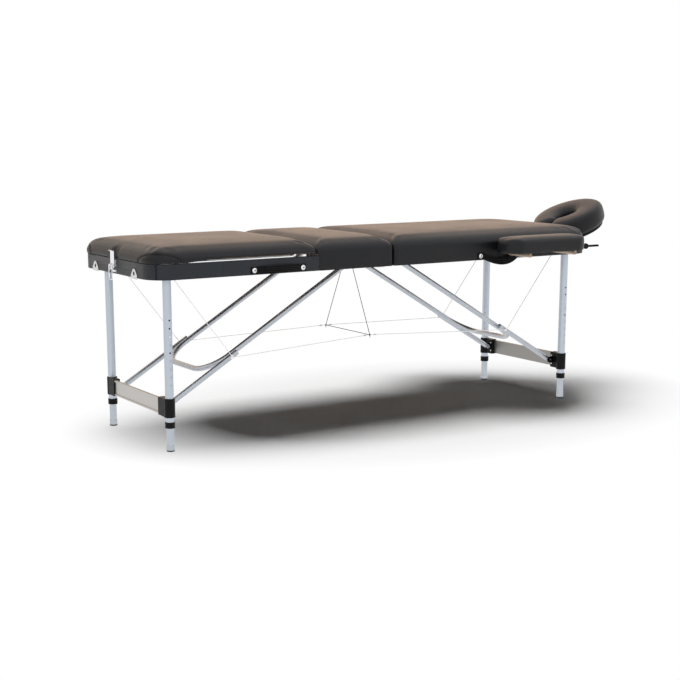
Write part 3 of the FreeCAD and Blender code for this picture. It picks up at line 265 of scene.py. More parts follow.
@dataclass(frozen=True)
class Vinyl(Finish):
    """Grained, coated upholstery with a soft sheen."""

    gloss: float = 0.28
    grain: float = 620.0
    pores: float = 310.0
    clouds: float = 7.0
    relief: float = 0.0005

    def sockets(self, graph: Graph) -> dict[str, Any]:
        """Leather grain, cloudy gloss and faint handling marks.

        Args:
            graph: The material's nodes.

        Returns:
            Inputs of the surface shader.
        """
        place = graph.place()
        cloud = graph.noise(place, self.clouds, 3.0)
        fine = graph.noise(place, self.pores)
        edges = {"feature": "DISTANCE_TO_EDGE"}
        cells = graph.node("TexVoronoi", edges, {"Vector": place, "Scale": self.grain}, "Distance")
        hollow = (cells * 4.0) & 1.0
        return {
            "Base Color": self.tone(graph, cloud * 0.7 + fine * 0.3, 0.7, 1.35),
            "Roughness": self.roughness + (cloud - 0.5) * 0.14 + (1.0 - hollow) * 0.08,
            "Specular IOR Level": self.gloss,
            "Normal": graph.bump(hollow * 0.6 + fine * 0.4 + cloud * 1.5, self.relief, 0.35),
        }


@dataclass(frozen=True)
class DrawnMetal(Finish):
    """Anodised or brushed metal with fine streaks along its run."""

    grain: Grain = Grain.UPRIGHT
    slope: float = 0.0
    streak: float = 0.1
    metal: float = 1.0
    coarse: float = 8.0
    fineness: float = 420.0
    patches: float = 16.0
    relief: float = 0.00002

    def sockets(self, graph: Graph) -> dict[str, Any]:
        """Streaked gloss and a little uneven tone.

        Args:
            graph: The material's nodes.

        Returns:
            Inputs of the surface shader.
        """
        scale = tuple(self.coarse if run else self.fineness for run in self.grain.value)
        lines = graph.noise(graph.place(scale, (0.0, math.radians(self.slope), 0.0)), 1.0, 3.0)
        patch = graph.noise(graph.place(), self.patches)
        return {
            "Base Color": self.tone(graph, lines * 0.6 + patch * 0.4, 0.86, 1.1),
            "Metallic": self.metal,
            "Roughness": self.roughness + (lines - 0.5) * self.streak + (patch - 0.5) * 0.1,
            "Normal": graph.bump(lines, self.relief, 0.2),
        }


@dataclass(frozen=True)
class PlatedSteel(Finish):
    """Chrome or zinc plating with smudges and a crystalline mottle."""

    mottle: float = 0.1
    crystals: float = 260.0
    smudges: float = 45.0
    relief: float = 0.00008

    def sockets(self, graph: Graph) -> dict[str, Any]:
        """Mottled tone and smudged gloss.

        Args:
            graph: The material's nodes.

        Returns:
            Inputs of the surface shader.
        """
        place = graph.place()
        crystal = graph.node("TexVoronoi", {}, {"Vector": place, "Scale": self.crystals}, "Distance")
        smudge = graph.noise(place, self.smudges, 3.0)
        return {
            "Base Color": self.tone(graph, crystal * self.mottle + smudge * 0.4, 1.08, 0.8),
            "Metallic": 1.0,
            "Roughness": self.roughness + (smudge - 0.5) * 0.16,
            "Normal": graph.bump(smudge, self.relief, 0.3),
        }


@dataclass(frozen=True)
class Moulding(Finish):
    """Moulded plastic, rubber or fibre with a spark-eroded texture."""

    texture: float = 0.5
    gloss: float = 0.5
    marbling: float = 0.25
    sparks: float = 900.0
    scuffs: float = 38.0
    relief: float = 0.00012

    def sockets(self, graph: Graph) -> dict[str, Any]:
        """Fine moulded texture and scuffed gloss.

        Args:
            graph: The material's nodes.

        Returns:
            Inputs of the surface shader.
        """
        place = graph.place()
        fine = graph.noise(place, self.sparks)
        scuff = graph.noise(place, self.scuffs, 4.0)
        return {
            "Base Color": self.tone(graph, scuff, 1.0 - self.marbling, 1.0 + self.marbling),
            "Roughness": self.roughness + (scuff - 0.5) * 0.2,
            "Specular IOR Level": self.gloss,
            "Normal": graph.bump(fine, self.relief, self.texture),
        }


@dataclass(frozen=True)
class Timber(Finish):
    """Clear-lacquered wood with its grain along one axis."""

    dark: Triple
    grain: Grain = Grain.ACROSS
    rings: tuple[float, float] = (6.0, 130.0)
    flecks: tuple[float, float] = (90.0, 900.0)
    relief: float = 0.00015

    def sockets(self, graph: Graph) -> dict[str, Any]:
        """Growth lines and short flecks.

        Args:
            graph: The material's nodes.

        Returns:
            Inputs of the surface shader.
        """
        lines, flecks = (
            graph.noise(graph.place(tuple(along if run else across for run in self.grain.value)), 1.0, detail)
            for (along, across), detail in ((self.rings, 4.0), (self.flecks, 2.0))
        )
        share = ((lines - 0.35) * 1.5 + (flecks - 0.5) * 0.5).clamped()
        return {
            "Base Color": graph.mix(share, self.color, self.dark),
            "Roughness": self.roughness + (lines - 0.5) * 0.2,
            "Normal": graph.bump(flecks, self.relief, 0.4),
        }


@dataclass(frozen=True)
class Webbing(Finish):
    """Woven strap; its UV map holds metres along and across."""

    gloss: float = 0.16
    pitch: float = 0.0016
    patches: float = 60.0
    relief: float = 0.0003

    def sockets(self, graph: Graph) -> dict[str, Any]:
        """Crossing yarns with a little loose tone.

        Args:
            graph: The material's nodes.

        Returns:
            Inputs of the surface shader.
        """
        uv = graph.node("UVMap", {"uv_map": WEAVE_MAP})
        turn = 2 * math.pi / self.pitch
        along, across = ((graph.node("SeparateXYZ", {}, {0: uv}, axis) * turn).sine() for axis in "XY")
        over = along * across * 0.5 + 0.5
        patch = graph.noise(graph.place(), self.patches, 3.0)
        return {
            "Base Color": self.tone(graph, over * 0.6 + patch * 0.4, 0.5, 1.7),
            "Roughness": self.roughness + (patch - 0.5) * 0.15,
            "Specular IOR Level": self.gloss,
            "Normal": graph.bump(over, self.relief, 0.7),
        }


WEAVE_MAP = "weave"
BRACE_SLOPE = 30.86
BLACK_VINYL = Vinyl("seat_vinyl", "black_vinyl", (0.015, 0.0155, 0.018), 0.33)
# Black rail wrap whose base is raised and tinted blue: painted bluish light on the table's sides.
RAIL_VINYL_PAINTED_LIGHT = Vinyl("rail_vinyl_painted_blue_light", "wrapped_rail", (0.021, 0.027, 0.036), 0.36, gloss=0.4)
# Near-black cord along the corner seams: partly the thread, partly painted shade of the seam's groove.
SEAM_THREAD_AND_SHADE = Moulding("seam_shadow", "black_vinyl", (0.006, 0.006, 0.0062), 0.7)
BACKREST_BOARD = Moulding("backrest_hardboard", "black_board", (0.17, 0.12, 0.08), 0.6)
LEG_ALUMINIUM = DrawnMetal("leg_anodising", "satin_aluminium", (0.53, 0.58, 0.65), 0.42)
LOWER_LEG_ALUMINIUM = DrawnMetal("lower_leg_anodising", "satin_aluminium", (0.5, 0.54, 0.59), 0.36)
BRACE_ALUMINIUM = {
    side: DrawnMetal(
        side.value + "_brace_anodising", "satin_aluminium", (0.54, 0.57, 0.62), 0.34, Grain.ALONG,
        -side.way * BRACE_SLOPE, metal=0.85)
    for side in Side
}
# Two copies of one brushed metal: the darker one on the stretcher's inner face is painted shade, the lighter
# one on its outer face is painted light.
STRETCHER_PAINTED_SHADE = DrawnMetal(
    "stretcher_painted_shade", "brushed_plate", (0.34, 0.335, 0.325), 0.46, Grain.ACROSS, streak=0.22)
STRETCHER_PAINTED_LIGHT = DrawnMetal(
    "stretcher_painted_light", "brushed_plate", (0.55, 0.54, 0.52), 0.4, Grain.ACROSS, streak=0.22)
CRADLE_ALUMINIUM = DrawnMetal("cradle_tube_satin", "cradle_tube", (0.68, 0.69, 0.71), 0.3, Grain.ALONG)
BLACK_PLASTIC = Moulding("bracket_moulding", "black_plastic", (0.012, 0.0122, 0.013), 0.42, gloss=0.14)
FOOT_RUBBER = Moulding("foot_rubber_tip", "foot_rubber", (0.06, 0.06, 0.062), 0.75)
FOOT_CUP = DrawnMetal("foot_cup_satin", "foot_rubber", (0.48, 0.51, 0.55), 0.38)
CHROME = PlatedSteel("latch_chrome", "bright_chrome", (0.82, 0.82, 0.84), 0.12)
ZINC = PlatedSteel("zinc_plate", "zinc_steel", (0.72, 0.725, 0.73), 0.3, mottle=0.5)
STRAP_WEAVE = Webbing("strap_weave", "black_webbing", (0.007, 0.007, 0.0078), 0.42)
STRAP_THREAD = Moulding("strap_thread", "black_webbing", (0.03, 0.03, 0.032), 0.6)
SHEATH = PlatedSteel("cable_sheath_clear", "cable_sheath", (0.88, 0.88, 0.87), 0.34)
CORD_YARN = Moulding("cord_yarn", "black_cord", (0.02, 0.02, 0.021), 0.8, texture=1.0)
# Beech made paler than its own tone: painted light on dowels that sit in the table's shade.
BEECH_PAINTED_LIGHT = Timber("dowel_beech_painted_light", "beech", (0.86, 0.69, 0.54), 0.42, (0.68, 0.48, 0.33))
PLYWOOD = Timber("deck_plywood", "plywood", (0.22, 0.17, 0.125), 0.6, (0.13, 0.095, 0.065), Grain.ALONG)


def linked(name: str, mesh: bpy.types.Mesh) -> bpy.types.Object:
    """Puts a mesh in the scene as an object at the origin.

    Args:
        name: Name of the object.
        mesh: Its mesh.

    Returns:
        The object.
    """
    made = bpy.data.objects.new(name, mesh)
    bpy.context.scene.collection.objects.link(made)
    return made


def piece_of(name: str, form: bmesh.types.BMesh) -> bpy.types.Object:
    """Turns a bmesh into an object at the origin and frees it.

    Args:
        name: Name of the object.
        form: Its shape.

    Returns:
        The object.
    """
    mesh = bpy.data.meshes.new(name)
    form.to_mesh(mesh)
    form.free()
    return linked(name, mesh)


def settle(
    piece: bpy.types.Object,
    finishes: Sequence[Finish],
    body: str,
    nodes: Sequence[str] = (),
    sharp: float = 35.0,
) -> bpy.types.Object:
    """Dresses a piece, shades it and hands it to its body.

    Args:
        piece: The modelled object.
        finishes: Its finishes, in the order of its faces' indices.
        body: The body that it moves with.
        nodes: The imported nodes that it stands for.
        sharp: Edges that turn by more degrees than this stay sharp.

    Returns:
        The same object.
    """
    for finish in finishes:
        piece.data.materials.append(finish.material())
    piece.data.shade_smooth()
    piece.data.set_sharp_from_angle(angle=math.radians(sharp))
    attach(piece, body)
    if nodes:
        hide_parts(*nodes)
    LOG.info("%s rides on %s", piece.name, body)
    return piece


def evaluated_mesh(piece: bpy.types.Object) -> bpy.types.Mesh:
    """A new mesh of an object with its modifiers applied.

    Args:
        piece: The object.

    Returns:
        The mesh.
    """
    bpy.context.view_layer.update()
    graph = bpy.context.evaluated_depsgraph_get()
    return bpy.data.meshes.new_from_object(piece.evaluated_get(graph))


def apply_modifiers(piece: bpy.types.Object) -> None:
    """Writes an object's modifiers into its mesh."""
    piece.data = evaluated_mesh(piece)
    piece.modifiers.clear()


def refine(piece: bpy.types.Object, levels: int) -> None:
    """Subdivides an object's mesh smoothly.

    Args:
        piece: The object.
        levels: How many times its faces are divided.
    """
    subdivision = piece.modifiers.new("Refine", "SUBSURF")
    subdivision.levels = subdivision.render_levels = levels
    apply_modifiers(piece)


def coordinates(mesh: bpy.types.Mesh, kind: str = "co") -> np.ndarray:
    """Vertex positions, or another triple of each vertex, as rows.

    Args:
        mesh: The mesh.
        kind: Which triple of a vertex to take.

    Returns:
        One row for each vertex.
    """
    flat = np.zeros(len(mesh.vertices) * 3, np.float32)
    mesh.vertices.foreach_get(kind, flat)
    return flat.reshape(-1, 3).astype(float)


def move_vertices(mesh: bpy.types.Mesh, places: np.ndarray) -> None:
    """Puts a mesh's vertices where the rows say."""
    mesh.vertices.foreach_set("co", places.astype(np.float32).ravel())
    mesh.update()


CURVE_ORDER = 3
CURVE_STEPS = 12


def curve_mesh(
    name: str,
    points: Sequence[Vector],
    radius: float,
    sides: int = 4,
    smooth: bool = False,
    closed: bool = False,
) -> bpy.types.Mesh:
    """Mesh of a line, or of a round wire along it where there is a radius.

    Args:
        name: Name of the mesh.
        points: Points of the line, or control points where it is smooth.
        radius: Radius of the wire.
        sides: A quarter of the wire's sides, less one.
        smooth: Draws a NURBS line through the points' frame.
        closed: Joins the last point to the first.

    Returns:
        The mesh.
    """
    curve = bpy.data.curves.new(name, "CURVE")
    curve.dimensions = "3D"
    spline = curve.splines.new("NURBS" if smooth else "POLY")
    spline.points.add(len(points) - 1)
    for knot, point in zip(spline.points, points):
        knot.co = (*point, 1.0)
    spline.use_cyclic_u = closed
    if smooth:
        spline.order_u = CURVE_ORDER
        spline.use_endpoint_u = True
        spline.resolution_u = CURVE_STEPS
    curve.bevel_depth = radius
    curve.bevel_resolution = sides
    curve.use_fill_caps = bool(radius) and not closed
    holder = bpy.data.objects.new(name, curve)
    mesh = bpy.data.meshes.new_from_object(holder)
    bpy.data.objects.remove(holder)
    bpy.data.curves.remove(curve)
    return mesh


def smooth_line(route: Sequence[Vector]) -> list[Vector]:
    """Points of a route's smooth line."""
    return [vert.co.copy() for vert in curve_mesh("route", route, 0.0, smooth=True).vertices]


def add_mesh(form: bmesh.types.BMesh, mesh: bpy.types.Mesh) -> None:
    """Joins a mesh to a form and discards it."""
    form.from_mesh(mesh)
    bpy.data.meshes.remove(mesh)


def middle(node: str) -> Vector:
    """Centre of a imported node's box."""
    low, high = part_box(node)
    return (low + high) / 2


def facing(spot: Vector, way: Vector) -> Matrix:
    """Place of a turned solid that stands at a spot with its axis along a way."""
    return Matrix.Translation(spot) @ way.to_track_quat("Z", "Y").to_matrix().to_4x4()


def islands(form: bmesh.types.BMesh) -> list[list[bmesh.types.BMFace]]:
    """Groups of faces that hang together.

    Args:
        form: The shape.

    Returns:
        The faces of each group.
    """
    left = set(form.faces)
    groups = []
    while left:
        todo = [left.pop()]
        group = []
        while todo:
            face = todo.pop()
            group.append(face)
            beside = {other for edge in face.edges for other in edge.link_faces} & left
            left -= beside
            todo += beside
        groups.append(group)
    return groups


def first_finish(low: Vector, high: Vector) -> int:
    """Every island takes the first finish."""
    return 0


TUBE_LEAST = 0.1
PLUG_WIDTHS = (0.0185, 0.0195)


def strut_finish(low: Vector, high: Vector) -> int:
    """Tube, end plug or pin of a strut, told by its size.

    Args:
        low: Low corner of the island's box.
        high: Its high corner.

    Returns:
        Index of the finish.
    """
    size = high - low
    if size.x > TUBE_LEAST:
        return 0
    return 1 if PLUG_WIDTHS[0] < size.y < PLUG_WIDTHS[1] else 2


@dataclass
class RigidPart:
    """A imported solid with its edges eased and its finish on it."""

    node: str
    finishes: tuple[Finish, ...]
    bevel: float
    fused: bool = False
    pick: Callable[[Vector, Vector], int] = first_finish
    outward: Vector | None = None
    flat_angle: float = 0.3
    edge_angle: float = 40.0
    outward_least: float = 0.9

    def build(self) -> None:
        """Makes the eased copy that stands for the node."""
        source = frame["nodes"][self.node]
        form = bmesh.new()
        form.from_mesh(source.data)
        bmesh.ops.remove_doubles(form, verts=form.verts, dist=MERGE)
        self._flatten(form)
        if self.fused:
            self._fuse(form)
        for group in islands(form):
            spots = [vert.co for face in group for vert in face.verts]
            index = self.pick(Vector(map(min, *spots)), Vector(map(max, *spots)))
            for face in group:
                face.material_index = index
        self._ease(form)
        if self.outward is not None:
            self._mark_painted_lit_side(form)
        piece = piece_of(self.node + "_dressed", form)
        settle(piece, self.finishes, source["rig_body"], [self.node])
        piece.modifiers.new("Flat faces", "WEIGHTED_NORMAL").keep_sharp = True

    def _mark_painted_lit_side(self, form: bmesh.types.BMesh) -> None:
        """Gives the last finish to the faces that look outwards; on the stretchers that is the lighter copy,
        painted light.

        Args:
            form: The shape that it works on.
        """
        form.normal_update()
        for face in form.faces:
            if face.normal.dot(self.outward) > self.outward_least:
                face.material_index = len(self.finishes) - 1

    def _flatten(self, form: bmesh.types.BMesh) -> None:
        """Joins triangles that lie in one plane.

        Args:
            form: The shape that it works on.
        """
        angle = math.radians(self.flat_angle)
        bmesh.ops.dissolve_limit(
            form, angle_limit=angle, verts=form.verts, edges=form.edges, delimit={"NORMAL"})

    def _fuse(self, form: bmesh.types.BMesh) -> None:
        """Takes out the pairs of faces where two solids butt together.

        Args:
            form: The shape that it works on.
        """
        seen: dict[frozenset, bmesh.types.BMFace] = {}
        doubled = []
        for face in form.faces:
            key = frozenset(vert.index for vert in face.verts)
            if key in seen:
                doubled += [face, seen[key]]
            seen[key] = face
        bmesh.ops.delete(form, geom=doubled, context="FACES")
        self._flatten(form)

    def _ease(self, form: bmesh.types.BMesh) -> None:
        """Rounds the sharp edges a little.

        Args:
            form: The shape that it works on.
        """
        least = math.radians(self.edge_angle)
        corners = [
            edge for edge in form.edges if len(edge.link_faces) == 2 and edge.calc_face_angle(0.0) > least]
        bmesh.ops.bevel(
            form, geom=corners, offset=self.bevel, offset_type="OFFSET", segments=2, profile=0.5,
            affect="EDGES", clamp_overlap=True, material=-1)


def ease(finish: Finish, bevel: float, *nodes: str) -> None:
    """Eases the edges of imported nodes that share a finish."""
    for node in nodes:
        RigidPart(node, (finish,), bevel).build()


def paint(finish: Finish, *nodes: str) -> None:
    """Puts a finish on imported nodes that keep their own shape.

    Args:
        finish: The finish.
        nodes: Names of the nodes.
    """
    for node in nodes:
        mesh = frame["nodes"][node].data
        mesh.materials.clear()
        mesh.materials.append(finish.material())
        LOG.info("%s keeps its shape in %s", node, finish.name)


@dataclass(frozen=True)
class EdgeForm:
    """How a cushion's top rounds off towards one edge."""

    shoulder: float
    fall: float
    crown: float
    reach: float

    def drop(self, inside: float) -> float:
        """Depth below the cushion's middle at a distance inside the edge.

        Args:
            inside: The distance.

        Returns:
            The depth.
        """
        near = 1 - min(inside / self.shoulder, 1.0)
        far = 1 - min(inside / self.reach, 1.0)
        return self.fall * (1 - math.sqrt(1 - near ** 2)) + self.crown * far ** 2


OUTER_EDGE = EdgeForm(0.042, 0.027, 0.014, 0.2)
SEAM_EDGE = EdgeForm(0.046, 0.022, 0.008, 0.12)
ARMREST_EDGE = EdgeForm(0.018, 0.014, 0.006, 0.055)


@dataclass
class Cover:
    """Upholstered pad: a crowned top, a soft shoulder and drawn sides, sewn at its lower edge."""

    node: str
    body: str
    low_radius: float
    high_radius: float
    cells: tuple[int, int]
    low_edge: EdgeForm = OUTER_EDGE
    high_edge: EdgeForm = OUTER_EDGE
    side_edge: EdgeForm = OUTER_EDGE
    tuck: float = 0.0
    tuck_start: float = 0.6
    wall_steps: int = 6
    swell: float = 0.004
    levels: int = 1
    skirt: float = 0.0
    fill: float = 0.8
    hem_crease: float = 0.8
    sharp: float = 60.0

    def build(self) -> None:
        """Models the cover, fills it and dresses it."""
        self.low, self.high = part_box(self.node)
        self.centre = (self.low + self.high) / 2
        form = bmesh.new()
        self._lay_top(form)
        sewn = self._draw_sides(form)
        piece = piece_of(self.node + "_cover", form)
        inflate(piece, sewn, self.swell)
        if self.skirt:
            self._open_below(piece)
        refine(piece, self.levels)
        self.shape_details(piece)
        if self.skirt:
            wall = piece.modifiers.new("Wall", "SOLIDIFY")
            wall.thickness = self.skirt
            wall.offset = -1.0
        settle(piece, [BLACK_VINYL], self.body, [self.node], self.sharp)

    def shape_details(self, piece: bpy.types.Object) -> None:
        """Adds what only some pads have."""

    def hem(self, spot: Vector) -> float:
        """Height of the lower border below a place on the edge."""
        return self.low.z

    def _lay_top(self, form: bmesh.types.BMesh) -> None:
        """Lays the top panel, finer towards its edges, and rounds it in plan and in height.

        Args:
            form: An empty shape, which takes the top.
        """
        bmesh.ops.create_grid(form, x_segments=self.cells[0], y_segments=self.cells[1], size=1.0)
        half = (self.high - self.low) / 2
        for vert in form.verts:
            spread = [0.5 * part + 0.5 * math.sin(part * math.pi / 2) for part in vert.co[:2]]
            x = spread[0] * half.x
            y = spread[1] * half.y
            end = self.low_edge if x < 0 else self.high_edge
            radius = self.low_radius if x < 0 else self.high_radius
            drop = math.hypot(end.drop(half.x - abs(x)), self.side_edge.drop(half.y - abs(y)))
            x, y = rounded_corner(x, y, half.x, half.y, radius)
            vert.co = (self.centre.x + x, self.centre.y + y, self.high.z - self.swell / 2 - drop)

    def _draw_sides(self, form: bmesh.types.BMesh) -> np.ndarray:
        """Pulls the border down to the hem and closes it below.

        Args:
            form: The laid top.

        Returns:
            Indices of the border, the sides and the hem, which the filling doesn't move.
        """
        crease = form.edges.layers.float.new("crease_edge")
        border = [edge for edge in form.edges if edge.is_boundary]
        sewn = {vert for edge in border for vert in edge.verts}
        for step in range(1, self.wall_steps + 1):
            made = bmesh.ops.extrude_edge_only(form, edges=border)["geom"]
            border = [item for item in made if isinstance(item, bmesh.types.BMEdge)]
            inward = self.tuck * max(0.0, step / self.wall_steps - self.tuck_start)
            ring = {vert for edge in border for vert in edge.verts}
            sewn |= ring
            for vert in ring:
                way = Vector((vert.co.x - self.centre.x, vert.co.y - self.centre.y, 0.0))
                vert.co -= way.normalized() * inward
                vert.co.z += (self.hem(vert.co) - vert.co.z) / (self.wall_steps + 1 - step)
        bmesh.ops.edgeloop_fill(form, edges=border)
        bmesh.ops.recalc_face_normals(form, faces=form.faces)
        for edge in border:
            edge[crease] = self.hem_crease
        form.verts.index_update()
        return np.array(sorted(vert.index for vert in sewn))

    def _open_below(self, piece: bpy.types.Object) -> None:
        """Takes away the closing face of a cover that is drawn over rails.

        Args:
            piece: The cover.
        """
        form = bmesh.new()
        form.from_mesh(piece.data)
        closing = [face for face in form.faces if len(face.verts) > 4]
        bmesh.ops.delete(form, geom=closing, context="FACES")
        form.to_mesh(piece.data)
        form.free()


def rounded_corner(x: float, y: float, half_x: float, half_y: float, radius: float) -> tuple[float, float]:
    """Draws a rectangle's corner square in to a quarter circle.

    Args:
        x: Place along the rectangle, from its middle.
        y: Place across it.
        half_x: Half its length.
        half_y: Half its width.
        radius: Radius of the corner.

    Returns:
        The place after rounding.
    """
    over_x = (abs(x) - half_x + radius) / radius
    over_y = (abs(y) - half_y + radius) / radius
    if over_x <= 0 or over_y <= 0:
        return x, y
    new_x = over_x * math.sqrt(1 - over_y ** 2 / 2)
    new_y = over_y * math.sqrt(1 - over_x ** 2 / 2)
    return (
        math.copysign(half_x - radius + radius * new_x, x),
        math.copysign(half_y - radius + radius * new_y, y),
    )


FILLING_FRAMES = 20
FILLING = {
    "quality": 4,
    "mass": 0.3,
    "tension_stiffness": 12.0,
    "compression_stiffness": 12.0,
    "bending_stiffness": 1.5,
    "use_pressure": True,
    "uniform_pressure_force": 4.0,
}


def inflate(piece: bpy.types.Object, sewn: np.ndarray, cap: float) -> None:
    """Fills a closed cover by cloth simulation and writes the result into its mesh.

    Args:
        piece: The cover.
        sewn: Indices of the vertices that stay.
        cap: The furthest that a vertex may move.
    """
    before = coordinates(piece.data)
    group = piece.vertex_groups.new(name="sewn")
    group.add([int(index) for index in sewn], 1.0, "REPLACE")
    cloth = piece.modifiers.new("Filling", "CLOTH")
    for name, value in FILLING.items():
        setattr(cloth.settings, name, value)
    cloth.settings.vertex_group_mass = group.name
    cloth.settings.effector_weights.gravity = 0.0
    cloth.collision_settings.use_collision = False
    scene = bpy.context.scene
    for step in range(1, FILLING_FRAMES + 1):
        scene.frame_set(step)
    filled = evaluated_mesh(piece)
    move = coordinates(filled) - before
    bpy.data.meshes.remove(filled)
    piece.modifiers.clear()
    piece.vertex_groups.clear()
    scene.frame_set(1)
    length = np.linalg.norm(move, axis=1)
    share = np.tanh(length / cap) * cap / np.maximum(length, 1e-9)
    move_vertices(piece.data, before + move * share[:, None])


@dataclass
class DeckCover(Cover):
    """The fixed cover beside the fold, cut away where the legs fold in from the backrest's side."""

    side_panel: float = 0.003
    deck_hem: float = 0.6195

    def hem(self, spot: Vector) -> float:
        """Lower border: under the deck towards the backrest, below the rails elsewhere."""
        open_side = spot.x < self.low.x + self.low_radius and abs(spot.y) < self.high.y - self.side_panel
        return self.deck_hem if open_side else self.low.z


@dataclass
class SewnCorners(Cover):
    """A cover whose round outer corners are separate sewn panels."""

    seam_arc: float = 0.105
    seam_steps: int = 56
    seam_crest: float = 0.653
    seam_foot: float = 0.004
    seam_width: float = 0.0045
    seam_depth: float = 0.0016
    seam_cord: float = 0.0008

    def shape_details(self, piece: bpy.types.Object) -> None:
        """Presses in the arc-shaped seam of each outer corner and lays a near-black cord along it, its thread
        with painted shade of the seam.

        Args:
            piece: The cover.
        """
        end = self.low.x if self.low_radius > self.high_radius else self.high.x
        sides = {Depth.NEAR: self.low.y, Depth.FAR: self.high.y}
        lines = {depth: self._seam_line(piece, Vector((end, y, 0.0))) for depth, y in sides.items()}
        self._press_in(piece.data, [spot for line in lines.values() for spot in line])
        for depth, line in lines.items():
            name = f"{self.node}_{depth.value}_corner_seam"
            settle(linked(name, curve_mesh(name, line, self.seam_cord)), [SEAM_THREAD_AND_SHADE], self.body)

    def _seam_line(self, piece: bpy.types.Object, corner: Vector) -> list[Vector]:
        """Follows the cover's surface along an arc about a corner.

        Args:
            piece: The cover.
            corner: The corner of the cover's plan.

        Returns:
            Points of the seam, from the end's lower edge to the side's.
        """
        tree = BVHTree.FromObject(piece, bpy.context.evaluated_depsgraph_get())
        to_centre = self.centre - corner
        inward = Vector((math.copysign(1, to_centre.x), math.copysign(1, to_centre.y), 0))
        focus = corner + inward * self.seam_arc
        foot = self.hem(corner) + self.seam_foot
        spots = []
        for step in range(self.seam_steps + 1):
            swing = math.pi * (step / self.seam_steps - 0.5)
            angle = math.pi / 4 * (1 + math.sin(swing))
            level = foot + (self.seam_crest - foot) * math.cos(swing)
            way = Vector((inward.x * math.cos(angle), inward.y * math.sin(angle), 0.0))
            start = Vector((focus.x, focus.y, level)) - way * self.seam_arc * 2
            spots.append(tree.ray_cast(start, way)[0])
        return [spot for spot in spots if spot is not None]

    def _press_in(self, mesh: bpy.types.Mesh, spots: Sequence[Vector]) -> None:
        """Draws a surface in along its lines of stitches.

        Args:
            mesh: The cover's mesh.
            spots: Points along the seams.
        """
        places = coordinates(mesh)
        normals = coordinates(mesh, "normal")
        near = np.full(len(places), np.inf)
        for spot in np.array(spots):
            near = np.minimum(near, ((places - spot) ** 2).sum(1))
        hollow = self.seam_depth * np.exp(-near / self.seam_width ** 2)
        move_vertices(mesh, places - normals * hollow[:, None])


@dataclass
class LatchedCover(SewnCorners):
    """The backrest's cover, drawn down round its free end and dented behind the latch."""

    hem_low: float = 0.6212
    hem_high: float = 0.632
    hem_start: float = 0.12
    hem_run: float = 0.14
    notch_depth: float = 0.013
    notch_width: float = 0.027
    notch_reach: float = 0.06
    notch_top: float = 0.676
    notch_fade: float = 0.02

    def hem(self, spot: Vector) -> float:
        """Lower border: close to the rim at the free end, higher along the prop."""
        share = min(max((spot.x - self.low.x - self.hem_start) / self.hem_run, 0.0), 1.0)
        return self.hem_low + (self.hem_high - self.hem_low) * share

    def shape_details(self, piece: bpy.types.Object) -> None:
        """Dents the end behind the latch, then sews the corners.

        Args:
            piece: The cover.
        """
        places = coordinates(piece.data)
        depth = self.notch_depth * np.exp(-((places[:, 1] / self.notch_width) ** 4))
        reach = np.clip(1 - (places[:, 0] - self.low.x) / self.notch_reach, 0, 1) ** 2
        height = np.clip((self.notch_top - places[:, 2]) / self.notch_fade, 0, 1)
        places[:, 0] += depth * reach * height
        move_vertices(piece.data, places)
        super().shape_details(piece)


